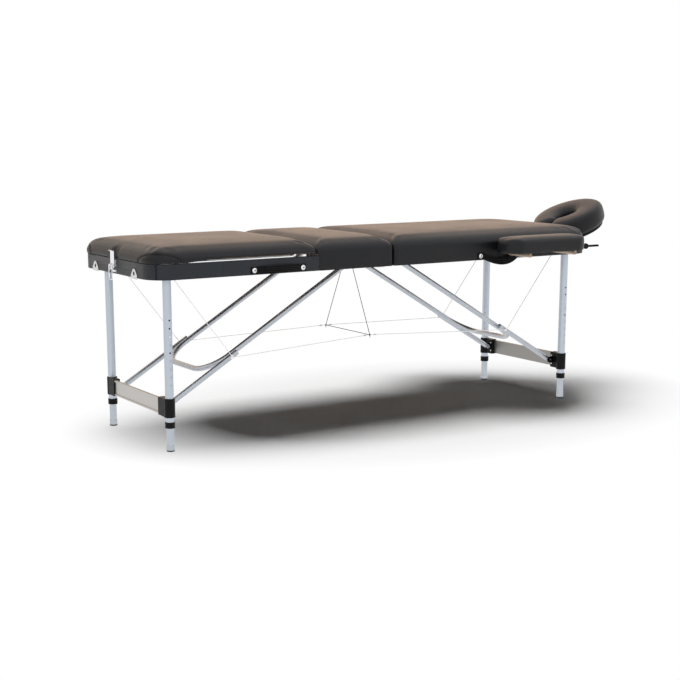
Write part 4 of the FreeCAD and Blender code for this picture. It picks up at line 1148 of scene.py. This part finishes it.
@dataclass
class FaceRing:
    """Horseshoe cushion of the face cradle, open towards the table."""

    node: str = "cradle_cushion"
    body: str = "cradle_head"
    ring: float = 0.096
    half_width: float = 0.047
    half_height: float = 0.04
    gap: float = 42.0
    opening: float = 0.029
    taper: float = 0.2267
    sides: int = 28
    steps: int = 84
    squareness: float = 3.4
    tips: tuple[tuple[float, float], ...] = ((0.010, 0.95), (0.008, 0.82), (0.005, 0.6), (0.0025, 0.3))
    rim_pleats: tuple[int, float] = (46, 0.0011)
    inner_pleats: tuple[int, float] = (26, 0.0012)
    pleats_from: tuple[float, float] = (0.1, 0.5)
    swell: float = 0.003
    swell_from: float = -0.3
    fill: float = 0.85
    sharp: float = 80.0

    def build(self) -> None:
        """Turns the section round the face opening, rounds off the tips and fills the cover."""
        form = bmesh.new()
        self._sweep(form)
        self._round_tips(form)
        bmesh.ops.recalc_face_normals(form, faces=form.faces)
        self._fill_lobes(form)
        self._gather(form)
        piece = piece_of(self.node + "_cover", form)
        level = self.half_height * self.swell_from
        inflate(piece, np.nonzero(coordinates(piece.data)[:, 2] < level)[0], self.swell)
        refine(piece, 1)
        joint = next(entry for entry in frame["joints"] if entry["name"] == "cradle_tilt")
        tilt = Matrix.Rotation(math.radians(joint["range_deg"][0]), 4, "Y")
        piece.data.transform(Matrix.Translation(middle(self.node)) @ tilt)
        settle(piece, [BLACK_VINYL], self.body, [self.node], self.sharp)

    def _sweep(self, form: bmesh.types.BMesh) -> None:
        """Spins the squared-off section from one tip to the other.

        Args:
            form: An empty shape, which takes the ring.
        """
        bmesh.ops.create_circle(form, cap_ends=False, segments=self.sides, radius=1.0)
        for vert in form.verts:
            across, up = (math.copysign(abs(part) ** (2 / self.squareness), part) for part in vert.co[:2])
            vert.co = (-self.ring + self.half_width * across, 0.0, self.half_height * up)
        start = Matrix.Rotation(math.radians(self.gap / 2), 3, "Z")
        bmesh.ops.rotate(form, verts=form.verts, cent=(0, 0, 0), matrix=start)
        bmesh.ops.spin(
            form, geom=form.verts[:] + form.edges[:], cent=(0, 0, 0), axis=(0, 0, 1),
            angle=math.radians(360 - self.gap), steps=self.steps, use_merge=False)

    def _round_tips(self, form: bmesh.types.BMesh) -> None:
        """Closes both ends with soft, drawn-in tips.

        Args:
            form: The shape that it works on.
        """
        loops = [edge for edge in form.edges if edge.is_boundary]
        for tip in bmesh.ops.edgeloop_fill(form, edges=loops)["faces"]:
            way = Vector((0.0, math.copysign(1, -tip.calc_center_median().y), 0.0))
            shape = 1.0
            for reach, size in self.tips:
                made = bmesh.ops.extrude_face_region(form, geom=[tip])["geom"]
                verts = [item for item in made if isinstance(item, bmesh.types.BMVert)]
                bmesh.ops.delete(form, geom=[tip], context="FACES_ONLY")
                tip = next(item for item in made if isinstance(item, bmesh.types.BMFace))
                space = Matrix.Translation(-tip.calc_center_median())
                bmesh.ops.scale(form, verts=verts, vec=(size / shape,) * 3, space=space)
                bmesh.ops.translate(form, verts=verts, vec=way * reach)
                shape = size

    def _fill_lobes(self, form: bmesh.types.BMesh) -> None:
        """Widens the ring inwards, so that the face opening is a drop that narrows to a slit.

        Args:
            form: The shape that it works on.
        """
        for vert in form.verts:
            flat = Vector((vert.co.x, vert.co.y, 0))
            out = flat.length
            if out >= self.ring:
                continue
            turn = math.atan2(abs(vert.co.y), vert.co.x)
            spread = math.sin(turn) - self.taper * math.cos(turn) if turn > math.pi / 2 else 1.0
            edge = min(self.opening / spread, self.ring - self.half_width)
            share = (self.ring - out) / self.half_width
            vert.co -= flat * (1 - (self.ring - share * (self.ring - edge)) / out)

    def _gather(self, form: bmesh.types.BMesh) -> None:
        """Small pleats where the cover is drawn in under the rim and at the face opening.

        Args:
            form: The shape that it works on.
        """
        rim_count, rim_depth = self.rim_pleats
        inner_count, inner_depth = self.inner_pleats
        for vert in form.verts:
            flat = Vector((vert.co.x, vert.co.y, 0))
            angle = math.atan2(vert.co.y, vert.co.x)
            low = max(0.0, -vert.co.z / self.half_height - self.pleats_from[0])
            inner = max(0.0, (self.ring - flat.length) / self.half_width - self.pleats_from[1])
            pleat = rim_depth * math.sin(angle * rim_count) * low
            pleat += inner_depth * math.sin(angle * inner_count + 1) * inner
            vert.co += flat.normalized() * pleat


def add_lathe(
    form: bmesh.types.BMesh,
    outline: Sequence[tuple[float, float]],
    place: Matrix,
    steps: int,
) -> None:
    """Adds a turned solid to a form.

    Args:
        form: The form that it joins.
        outline: Pairs of radius and height; a first or last radius of 0 closes the end.
        place: Where its axis, +Z, stands.
        steps: Sides of the round.
    """
    turned = bmesh.new()
    verts = [turned.verts.new((radius, 0.0, height)) for radius, height in outline]
    for first, second in zip(verts, verts[1:]):
        turned.edges.new((first, second))
    if outline[0][0] > 0 and outline[-1][0] > 0:
        turned.edges.new((verts[-1], verts[0]))
    bmesh.ops.spin(
        turned, geom=turned.verts[:] + turned.edges[:], cent=(0, 0, 0), axis=(0, 0, 1),
        angle=2 * math.pi, steps=steps, use_merge=True)
    bmesh.ops.remove_doubles(turned, verts=turned.verts, dist=MERGE)
    bmesh.ops.recalc_face_normals(turned, faces=turned.faces)
    turned.transform(place)
    made = bpy.data.meshes.new("turned")
    turned.to_mesh(made)
    turned.free()
    add_mesh(form, made)


STITCH = (0.0011, 0.0004)
WASHER_OUTLINE = ((0.0055, 0.0), (0.0085, 0.0), (0.0083, 0.0012), (0.0068, 0.0021), (0.0055, 0.0018))


def stitch_bead(form: bmesh.types.BMesh, spot: Vector, upright: bool) -> None:
    """Adds one stitch, a small rounded bead along X or upright, to a form.

    Args:
        form: The form that it joins.
        spot: Its place.
        upright: Whether it runs along Z.
    """
    long, thin = STITCH
    size = (thin, thin, long) if upright else (long, thin, thin)
    turn = Matrix.Translation(spot) @ Matrix.Diagonal((*size, 1.0))
    bmesh.ops.create_icosphere(form, subdivisions=1, radius=1.0, matrix=turn)


@dataclass
class CarryStrap:
    """Webbing handle on the near side rail, screwed down through a folded tab at each end."""

    side: Side
    out: float
    down: float
    ribs: int = 4
    thickness: float = 0.003
    middle_share: float = 0.6
    band_share: float = 0.75
    tab: float = 0.024
    relief: float = 0.0012
    cells: tuple[int, int] = (96, 24)
    selvedge: float = 0.0006
    box_share: float = 0.36
    stitches: int = 3
    socket_radius: float = 0.0026
    socket_proud: float = 0.0001

    def build(self) -> None:
        """Makes the strap with its stitches, cup washers and black hexagons of painted shade in its screw
        sockets.
        """
        self.node = self.side.value + "_carry_handle"
        self.body = self.side.value + "_half"
        self.low, self.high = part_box(self.node)
        self.level = self.high.z - self.tab / 2
        self.proud = self.high.y - self.thickness
        self.screws = (self.low.x + self.tab / 2, self.high.x - self.tab / 2)
        settle(self._strap(), [STRAP_WEAVE], self.body, [self.node], sharp=30.0)
        self._stitches()
        self._washers()
        self._sockets()

    def _strap(self) -> bpy.types.Object:
        """The woven band, ribbed along its middle.

        Returns:
            The strap.
        """
        form = bmesh.new()
        bmesh.ops.create_grid(form, x_segments=self.cells[0], y_segments=self.cells[1], size=1.0)
        uv = form.loops.layers.uv.new(WEAVE_MAP)
        half = (self.high.x - self.low.x) / 2
        centre = (self.low.x + self.high.x) / 2
        for face in form.faces:
            for loop in face.loops:
                loop[uv].uv = (loop.vert.co.x * half, loop.vert.co.y * self.tab / 2)
        bow_end = 1 - self.tab / half
        for vert in form.verts:
            run, across, _ = vert.co
            bow = max(0.0, 1 - (run / bow_end) ** 2)
            rib = 0.0 if abs(run) > bow_end else self.relief * math.cos(across * math.pi * self.ribs)
            vert.co = (
                centre + run * half,
                self.high.y - self.thickness * self.middle_share - bow * self.out - rib,
                self.level - bow * self.down + across * self.tab / 2,
            )
        bmesh.ops.recalc_face_normals(form, faces=form.faces)
        piece = piece_of(self.node + "_webbing", form)
        wall = piece.modifiers.new("Thickness", "SOLIDIFY")
        wall.thickness = self.thickness * self.band_share
        wall.offset = 0.0
        edge = piece.modifiers.new("Selvedge", "BEVEL")
        edge.width = self.selvedge
        edge.segments = 2
        edge.limit_method = "ANGLE"
        apply_modifiers(piece)
        return piece

    def _stitches(self) -> None:
        """A sewn box on each tab."""
        form = bmesh.new()
        inset = self.tab * self.box_share
        for end in self.screws:
            for step in range(-self.stitches, self.stitches + 1):
                place = step * inset / (self.stitches + 0.5)
                for edge in (inset, -inset):
                    stitch_bead(form, Vector((end + place, self.proud, self.level + edge)), False)
                    stitch_bead(form, Vector((end + edge, self.proud, self.level + place)), True)
        piece = piece_of(self.side.value + "_strap_stitches", form)
        settle(piece, [STRAP_THREAD], self.body)

    def _head_place(self, x: float, y: float) -> Matrix:
        """Place of a turned solid on a strap screw, with its axis towards the viewer."""
        return Matrix.Translation((x, y, self.level)) @ Matrix.Rotation(math.pi / 2, 4, "X")

    def _washers(self) -> None:
        """Cup washers under the screws of the strap."""
        form = bmesh.new()
        for x in self.screws:
            add_lathe(form, WASHER_OUTLINE, self._head_place(x, self.proud), steps=32)
        settle(piece_of(self.side.value + "_strap_washers", form), [CHROME], self.body)

    def _sockets(self) -> None:
        """Black hexagons on the heads of the strap's screws, painted shade where their sockets are recessed.
        """
        form = bmesh.new()
        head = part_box(self.side.value + "_pins_and_screws")[0].y
        for x in self.screws:
            # A flat black hexagon stands in for the shade inside each hex socket.
            bmesh.ops.create_cone(
                form, cap_ends=True, segments=6, radius1=self.socket_radius, radius2=self.socket_radius,
                depth=2 * self.socket_proud, matrix=self._head_place(x, head - self.socket_proud))
        settle(piece_of(self.side.value + "_strap_screw_socket_shade", form), [BLACK_PLASTIC], self.body)


SCREW_OUTLINE = (
    (0.0, 0.0019), (0.0012, 0.0018), (0.0024, 0.0013), (0.0031, 0.0004), (0.0031, -0.0006), (0.0, -0.0006))


@dataclass
class ScrewSet:
    """Small round-headed screws that hold one fitting."""

    name: str
    body: str
    spots: list[Vector]
    way: Vector
    finish: Finish
    scale: float = 1.0

    def build(self) -> None:
        """Turns the heads and sets them down."""
        form = bmesh.new()
        outline = [(radius * self.scale, height * self.scale) for radius, height in SCREW_OUTLINE]
        for spot in self.spots:
            add_lathe(form, outline, facing(spot, self.way), steps=20)
        settle(piece_of(self.name, form), [self.finish], self.body, sharp=40.0)


CORD_BEND = 6
FERRULE_INSET = 0.012
FERRULE_OUTLINE = (
    (0.0016, 0.0), (0.0026, 0.0004), (0.0028, 0.003), (0.0022, 0.0042), (0.0022, 0.0058),
    (0.0028, 0.007), (0.0026, 0.0096), (0.0016, 0.01))


def slacken(piece: bpy.types.Object) -> bpy.types.Object:
    """Gives a piece its own copy of its mesh."""
    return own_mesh(piece)


def bend(before: Vector, spot: Vector, after: Vector, diameter: float) -> list[Vector]:
    """Control points that take a cord round a spot on its way.

    Args:
        before: Where the cord comes from.
        spot: What it goes round.
        after: Where it goes.
        diameter: Its thickness.

    Returns:
        The control points.
    """
    clear = CORD_BEND * diameter
    ways = [(end - spot).normalized() * clear for end in (before, after)]
    return [spot + ways[0], spot, spot + ways[1]]


@dataclass
class TensionCable:
    """Sheathed cable from a leg's mount round the knuckle to the middle of the table."""

    side: Side
    depth: Depth
    anchor: Vector
    knuckle: Vector
    centre: Vector
    diameter: float = 0.0024

    def build(self) -> None:
        """Draws the cable along its route, with its crimped ferrules."""
        turn = bend(self.anchor, self.knuckle, self.centre, self.diameter)
        route = [self.anchor, *turn, self.centre]
        line = smooth_line(route)
        name = f"{self.side.value}_{self.depth.value}_tension_cable"
        cable = linked(name, curve_mesh(name, route, self.diameter / 2, 3, smooth=True))
        body = self.side.value + "_half"
        settle(cable, [SHEATH], body, [self.side.value + "_cables"], sharp=60.0)
        slacken(cable)
        self._ferrules(name, body)

    def _ferrules(self, name: str, body: str) -> bpy.types.Object:
        """Crimped sleeves at the cable's two ends, as one piece.

        Args:
            name: The cable's name.
            body: The body that it rides on.

        Returns:
            The ferrules.
        """
        form = bmesh.new()
        for spot in (self.anchor, self.centre):
            way = (self.knuckle - spot).normalized()
            add_lathe(form, FERRULE_OUTLINE, facing(spot + way * FERRULE_INSET, way), steps=16)
        return slacken(settle(piece_of(name + "_ferrules", form), [ZINC], body))


KNOT = 0.004


@dataclass
class CentreCord:
    """Laid cord from a knot on each cable up to the bar of the middle hinge."""

    diameter: float = 0.0025
    lay: float = 0.008
    lay_steps: int = 12
    strands: int = 3
    loop: float = 0.00405
    loop_side: float = 0.0263
    loop_steps: int = 32
    strand_share: float = 0.25
    knot_steps: int = 36
    knot_turn: float = 0.42
    knot_swing: float = 0.45
    knot_share: float = 0.45
    tail_share: float = 0.4
    tail_end: Triple = (0.0015, 0.001, -2.6 * KNOT)
    sharp: float = 70.0

    def build(self) -> None:
        """Twists the strands along the route, ties the knots and loops the ends round the bar."""
        low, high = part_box("centre_cord")
        bar = middle("fold_links")
        knots = [Vector((bar.x, y, low.z + KNOT)) for y in (low.y + KNOT, high.y - KNOT)]
        tops = [Vector((bar.x, y, bar.z - self.loop)) for y in (-self.loop_side, self.loop_side)]
        route = [tops[0]]
        route += bend(tops[0], knots[0], knots[1], self.diameter)
        route += bend(knots[0], knots[1], tops[1], self.diameter)
        line = even_line([*route, tops[1]], self.lay / self.lay_steps)
        form = bmesh.new()
        for strand in range(self.strands):
            add_mesh(form, self._strand(line, 2 * math.pi * strand / self.strands))
        cord = piece_of("centre_cord_strands", form)
        settle(cord, [CORD_YARN], "fold_links", ["centre_cord"], self.sharp)
        slacken(cord)
        self._ties(knots, bar)

    def _strand(self, line: list[Vector], start: float) -> bpy.types.Mesh:
        """One strand wound round the route.

        Args:
            line: Points of the route.
            start: Angle of the strand at its start.

        Returns:
            The strand.
        """
        lead = self.diameter * self.strand_share
        side = Vector((1, 0, 0))
        spots = []
        run = 0.0
        for behind, spot, ahead in zip([line[0], *line], line, [*line[1:], line[-1]]):
            run += (spot - behind).length
            up = (ahead - behind).normalized().cross(side)
            angle = start + 2 * math.pi * run / self.lay
            spots.append(spot + (side * math.cos(angle) + up * math.sin(angle)) * lead)
        return curve_mesh("strand", spots, lead, 1)

    def _ties(self, knots: list[Vector], bar: Vector) -> bpy.types.Object:
        """Overhand knots with short tails on the cables, and the loops round the bar.

        Args:
            knots: Where the knots lie.
            bar: Middle of the bar.

        Returns:
            The knots and loops as one piece.
        """
        form = bmesh.new()
        for knot in knots:
            coil = []
            for step in range(self.knot_steps):
                angle = 2 * math.pi * step / self.knot_steps
                swing = 1 + self.knot_swing * math.cos(3 * angle)
                turn = Vector((math.cos(2 * angle) * swing, math.sin(2 * angle) * swing, math.sin(3 * angle)))
                coil.append(knot + turn * KNOT * self.knot_turn)
            add_mesh(form, curve_mesh("knot", coil, self.diameter * self.knot_share, 2, closed=True))
            tail = [knot, knot + Vector((0.0, 0.0, -KNOT)), knot + Vector(self.tail_end)]
            add_mesh(form, curve_mesh("tail", tail, self.diameter * self.tail_share, 2))
        for y in (-self.loop_side, self.loop_side):
            angles = [2 * math.pi * step / self.loop_steps for step in range(self.loop_steps)]
            ring = [
                Vector((bar.x + self.loop * math.sin(angle), y, bar.z + self.loop * math.cos(angle)))
                for angle in angles
            ]
            add_mesh(form, curve_mesh("loop", ring, self.diameter / 2, 2, closed=True))
        piece = piece_of("centre_cord_ties", form)
        return slacken(settle(piece, [CORD_YARN], "fold_links", sharp=self.sharp))


def even_line(route: Sequence[Vector], step: float) -> list[Vector]:
    """Points at even steps along a route's smooth line.

    Args:
        route: Control points of the line.
        step: Length of a step.

    Returns:
        The points.
    """
    spots = np.array(smooth_line(route))
    run = np.concatenate([[0], np.cumsum(np.linalg.norm(np.diff(spots, axis=0), axis=1))])
    places = np.linspace(0, run[-1], max(2, round(run[-1] / step)))
    return [Vector([np.interp(place, run, spots[:, axis]) for axis in range(3)]) for place in places]


@dataclass
class Foot:
    """Pale cup on the end of a lower leg, with a dark rubber tread."""

    leg: str
    tread: float = 0.005
    groove: float = 0.0008

    def build(self) -> None:
        """Turns the cup and its tread from insets and heights of their outline."""
        low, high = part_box(self.leg + "_foot")
        radius = (high.x - low.x) / 2
        profile = (
            (0.004, 0.0), (0.0015, 0.0007), (0.0003, 0.003), (0.0, self.tread - 0.0006),
            (self.groove, self.tread), (self.groove, self.tread + 0.0008), (0.0003, self.tread + 0.0014),
            (0.0005, high.z - 0.0016), (0.0012, high.z))
        outline = [(0.0, 0.0), *((radius - inset, height) for inset, height in profile), (0.0, high.z)]
        form = bmesh.new()
        place = Matrix.Translation((*middle(self.leg + "_foot")[:2], low.z))
        add_lathe(form, outline, place, steps=48)
        for face in form.faces:
            face.material_index = 0 if face.calc_center_median().z < low.z + self.tread else 1
        piece = piece_of(self.leg + "_foot_cup", form)
        body, node = self.leg + "_lower_leg", self.leg + "_foot"
        settle(piece, [FOOT_RUBBER, FOOT_CUP], body, [node], sharp=50.0)


@dataclass(frozen=True)
class Lamp:
    """A soft round lamp that looks at a point."""

    name: str
    place: Triple
    target: Triple
    size: float
    power: float
    color: Triple = (1.0, 1.0, 1.0)
    unseen_by: tuple[str, ...] = ()

    def build(self) -> None:
        """Hangs the lamp."""
        data = bpy.data.lights.new(self.name, "AREA")
        data.shape = "DISK"
        data.size = self.size
        data.energy = self.power
        data.color = self.color
        lamp = bpy.data.objects.new(self.name, data)
        lamp.location = self.place
        lamp.rotation_mode = "QUATERNION"
        way = Vector(self.target) - Vector(self.place)
        lamp.rotation_quaternion = way.to_track_quat("-Z", "Y")
        for rays in self.unseen_by:
            setattr(lamp, "visible_" + rays, False)
        bpy.context.scene.collection.objects.link(lamp)


LAMPS = (
    Lamp("key", (-0.2, 0.35, 5.0), (-0.1, 0.0, 0.0), 3.0, 245.0, unseen_by=("glossy",)),
    Lamp("front_fill", (-2.4, -3.2, 1.7), (0.0, 0.0, 0.45), 1.8, 5.0),
    Lamp("rear_glow", (2.7, 4.6, 1.6), (0.0, 0.0, 0.7), 4.4, 24.0, (1.0, 0.52, 0.25), ("camera", "diffuse")),
)


@dataclass
class Studio:
    """White sweep, soft light and the camera of the reference view."""

    lens: float = 70.52
    shift: tuple[float, float] = (0.0412, 0.0971)
    place: Triple = (-2.8101, -4.119, 1.030)
    yaw: float = 31.46
    pitch: float = 11.64
    roll: float = -0.2
    ambient: float = 0.015
    far_side: Triple = (1.0, 0.86, 0.74)
    far_side_from: float = 0.2
    floor_size: float = 14.0
    floor_white: float = 0.93
    fade_reach: tuple[float, float] = (1.4, 0.95)
    fade_shift: float = -0.07
    fade_from: float = 0.55
    fade_slope: float = 2.5

    def build(self) -> None:
        """Sets up camera, floor, world and lamps."""
        scene = bpy.context.scene
        scene.view_settings.view_transform = "Standard"
        self._camera(scene)
        self._world(scene)
        self._floor()
        for lamp in LAMPS:
            lamp.build()

    def _camera(self, scene: bpy.types.Scene) -> None:
        """Stands the camera where the reference view was taken.

        Args:
            scene: The scene that it shows.
        """
        data = bpy.data.cameras.new("reference_view")
        data.lens = self.lens
        data.shift_x, data.shift_y = self.shift
        camera = bpy.data.objects.new("reference_view", data)
        turn = Matrix.Identity(4)
        for angle, axis in ((-self.yaw, "Z"), (90 - self.pitch, "X"), (self.roll, "Z")):
            turn = turn @ Matrix.Rotation(math.radians(angle), 4, axis)
        camera.matrix_world = Matrix.Translation(self.place) @ turn
        scene.collection.objects.link(camera)
        scene.camera = camera

    def _world(self, scene: bpy.types.Scene) -> None:
        """White to the eye, white and warm in reflections, and dim as light.

        Args:
            scene: The scene that it surrounds.
        """
        scene.world = bpy.data.worlds.new("white_room")
        scene.world.use_nodes = True
        scene.world.cycles.sampling_method = "NONE"
        graph = Graph(scene.world.node_tree)
        seen, glossy, through = graph.rays()
        strength = self.ambient + (seen | glossy | through) * (1.0 - self.ambient)
        way = graph.node("TexCoord", output="Generated")
        behind = graph.node("SeparateXYZ", {}, {0: way}, "Y")
        warm = ((behind - self.far_side_from) * self.fade_slope).clamped()
        color = graph.mix(warm * (1.0 - seen), (1.0, 1.0, 1.0), self.far_side)
        sky = graph.node("Background", {}, {"Color": color, "Strength": strength})
        graph.node("OutputWorld", {}, {"Surface": sky})

    def _floor(self) -> None:
        """Lays a floor that keeps the table's shadow and fades into the background."""
        form = bmesh.new()
        bmesh.ops.create_grid(form, x_segments=1, y_segments=1, size=self.floor_size)
        floor = piece_of("studio_floor", form)
        floor.data.materials.append(new_material("studio_floor", self._floor_shade))

    def _floor_shade(self, graph: Graph) -> Socket:
        """Matt white near the table; plain white further off, in gloss and through clear surfaces.

        Args:
            graph: The floor's nodes.

        Returns:
            The shader.
        """
        near = graph.place((1 / self.fade_reach[0], 1 / self.fade_reach[1], 1.0))
        spot = graph.node("Mapping", {}, {"Vector": near, "Location": (self.fade_shift, 0.0, 0.0)})
        away = graph.node("VectorMath", {"operation": "LENGTH"}, {0: spot}, "Value")
        fade = ((away - self.fade_from) * self.fade_slope).clamped()
        seen, glossy, through = graph.rays()
        matt = graph.node("BsdfDiffuse", {}, {"Color": (*[self.floor_white] * 3, 1)})
        white = graph.node("Emission", {}, {"Color": (1, 1, 1, 1), "Strength": 1.0})
        return graph.node("MixShader", {}, {0: seen * fade | glossy | through, 1: matt, 2: white})


@dataclass
class Upholstery:
    """Every cushion of the table."""

    outer_radius: float = 0.085
    seam_radius: float = 0.014
    armrest_radius: float = 0.052
    cover_wall: float = 0.0022

    def build(self) -> None:
        """Builds the pads from the left end to the face cradle."""
        outer, seam, arm = self.outer_radius, self.seam_radius, self.armrest_radius
        LatchedCover(
            "backrest_pad", "backrest", outer, seam, (60, 58), high_edge=SEAM_EDGE, tuck=0.004,
            wall_steps=4, levels=2).build()
        DeckCover(
            "middle_pad", "left_half", seam, seam, (36, 58), SEAM_EDGE, SEAM_EDGE,
            skirt=self.cover_wall).build()
        SewnCorners(
            "right_pad", "right_half", seam, outer, (84, 58), SEAM_EDGE, skirt=self.cover_wall).build()
        for depth in Depth:
            body = depth.value + "_armrest"
            Cover(
                body + "_pad", body, arm, arm, (44, 22), ARMREST_EDGE, ARMREST_EDGE, ARMREST_EDGE,
                tuck=0.006, wall_steps=5, swell=0.003, levels=2).build()
        FaceRing().build()


@dataclass
class Linkage:
    """Legs, braces, struts and everything on them."""

    strut_edge: float = 0.0004
    plate_edge: float = 0.0009
    bracket_edge: float = 0.001
    mount_edge: float = 0.0005
    clamp_face: float = 0.007
    clamp_screw: float = 0.008
    clamp_rise: float = 0.016
    cable_radius: float = 0.0015
    anchor_in: float = 0.8
    anchor_down: float = 0.6
    knuckle_reach: float = 0.5916
    knuckle_level: float = 0.2863

    def build(self) -> None:
        """Dresses both ends of the table."""
        for side in Side:
            name = side.value
            tube = BRACE_ALUMINIUM[side]
            paint(LEG_ALUMINIUM, name + "_upper_legs")
            paint(tube, name + "_brace")
            strut = (tube, BLACK_PLASTIC, CHROME)
            RigidPart(name + "_struts", strut, self.strut_edge, pick=strut_finish).build()
            # The stretcher's outer face takes the lighter copy, painted light; its other faces take the
            # darker copy, painted shade.
            RigidPart(
                name + "_stretcher", (STRETCHER_PAINTED_SHADE, STRETCHER_PAINTED_LIGHT), self.plate_edge,
                outward=Vector((side.way, 0, 0))).build()
            ease(BLACK_PLASTIC, self.bracket_edge, name + "_leg_brackets")
            ease(ZINC, self.mount_edge, name + "_pivot_mounts")
            paint(CHROME, name + "_pins_and_screws")
            for depth in Depth:
                leg = f"{name}_{depth.value}"
                paint(LOWER_LEG_ALUMINIUM, leg + "_lower_leg")
                paint(CHROME, leg + "_leg_button")
                Foot(leg).build()
            self._clamp_screws(side)
            for depth in Depth:
                self._cable(side, depth)
        CentreCord().build()

    def _clamp_screws(self, side: Side) -> None:
        """Two screws through each bracket's clamp.

        Args:
            side: The half that they are on.
        """
        low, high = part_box(side.value + "_stretcher")
        x = middle(side.value + "_upper_legs").x - self.clamp_face * side.way
        level = (low.z + high.z) / 2
        spots = [
            Vector((x, y, level + rise))
            for y in (low.y + self.clamp_screw, high.y - self.clamp_screw)
            for rise in (-self.clamp_rise, self.clamp_rise)
        ]
        way = Vector((-side.way, 0, 0))
        ScrewSet(side.value + "_clamp_screws", side.value + "_legs", spots, way, CHROME).build()

    def _cable(self, side: Side, depth: Depth) -> None:
        """One tension cable, from its leg's mount to its knot on the centre cord.

        Args:
            side: The half that it is on.
            depth: The long side that it runs along.
        """
        low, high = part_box(side.value + "_cables")
        knot_low, knot_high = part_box("centre_cord")
        outer, inner = (low.x, high.x) if side is Side.LEFT else (high.x, low.x)
        radius = self.cable_radius
        lane = depth.way * (high.y - radius)
        anchor_x = outer - side.way * radius * self.anchor_in
        anchor = Vector((anchor_x, lane, high.z - radius * self.anchor_down))
        knuckle_x = self.knuckle_reach * side.way + middle("centre_cord").x
        knuckle = Vector((knuckle_x, lane, self.knuckle_level))
        centre = Vector((inner, depth.way * (knot_high.y - KNOT), knot_low.z + KNOT))
        TensionCable(side, depth, anchor, knuckle, centre).build()


@dataclass
class TopFrame:
    """Rails, decks, hinges, latch, sockets and the backrest's board and prop."""

    rail_edge: float = 0.0016
    board_edge: float = 0.0015
    ratchet_edge: float = 0.0004
    hinge_edge: float = 0.0003
    latch_edge: float = 0.0004
    socket_edge: float = 0.0005
    flange_width: float = 0.046
    flange_screws: tuple[tuple[float, float], ...] = ((-0.0165, 0.007), (0.0165, 0.007), (0.0, 0.0285))
    flange_screw_scale: float = 0.9

    def build(self) -> None:
        """Dresses the rigid pieces under and round the cushions."""
        RigidPart("left_frame_rails", (RAIL_VINYL_PAINTED_LIGHT,), self.rail_edge, fused=True).build()
        paint(RAIL_VINYL_PAINTED_LIGHT, "right_frame_rails")
        paint(PLYWOOD, "middle_deck", "right_deck")
        ease(BACKREST_BOARD, self.board_edge, "backrest_board")
        paint(FOOT_RUBBER, "backrest_fittings")
        paint(CHROME, "prop_bail", "latch_bail")
        ease(ZINC, self.ratchet_edge, "prop_ratchets")
        ease(ZINC, self.hinge_edge, "left_hinge_leaves", "right_hinge_leaves", "fold_links")
        ease(CHROME, self.latch_edge, "latch_base", "latch_lever", "latch_catch")
        for side in Side:
            ease(ZINC, self.socket_edge, side.value + "_cradle_sockets")
            self._flange_screws(side)
        CarryStrap(Side.LEFT, out=0.009, down=0.0).build()
        CarryStrap(Side.RIGHT, out=0.017, down=0.022).build()

    def _flange_screws(self, side: Side) -> None:
        """Three screws in the shield flange of each rod socket.

        Args:
            side: The half that they are on.
        """
        low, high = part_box(side.value + "_cradle_sockets")
        face = low.x if side is Side.LEFT else high.x
        half = self.flange_width / 2
        spots = [
            Vector((face, lane + across, low.z + rise))
            for lane in (low.y + half, high.y - half)
            for across, rise in self.flange_screws
        ]
        name, body = side.value + "_flange_screws", side.value + "_half"
        ScrewSet(name, body, spots, Vector((side.way, 0, 0)), ZINC, self.flange_screw_scale).build()


@dataclass
class FaceCradle:
    """Rods, platform and lock of the face cradle, and the armrests' dowels."""

    platform_edge: float = 0.0012
    lever_edge: float = 0.001
    dowel_edge: float = 0.0012

    def build(self) -> None:
        """Dresses the rigid pieces at the head end."""
        paint(CRADLE_ALUMINIUM, "cradle_rods")
        ease(BLACK_PLASTIC, self.platform_edge, "cradle_platform")
        ease(BLACK_PLASTIC, self.lever_edge, "cradle_cam_lever")
        ease(BEECH_PAINTED_LIGHT, self.dowel_edge, "near_armrest_dowels", "far_armrest_dowels")


def main() -> None:
    """Builds the table's looks, piece by piece."""
    logging.basicConfig(level=logging.INFO, format="%(message)s")
    for part in (Studio(), Linkage(), TopFrame(), FaceCradle(), Upholstery()):
        part.build()


if __name__ == "__main__":
    main()
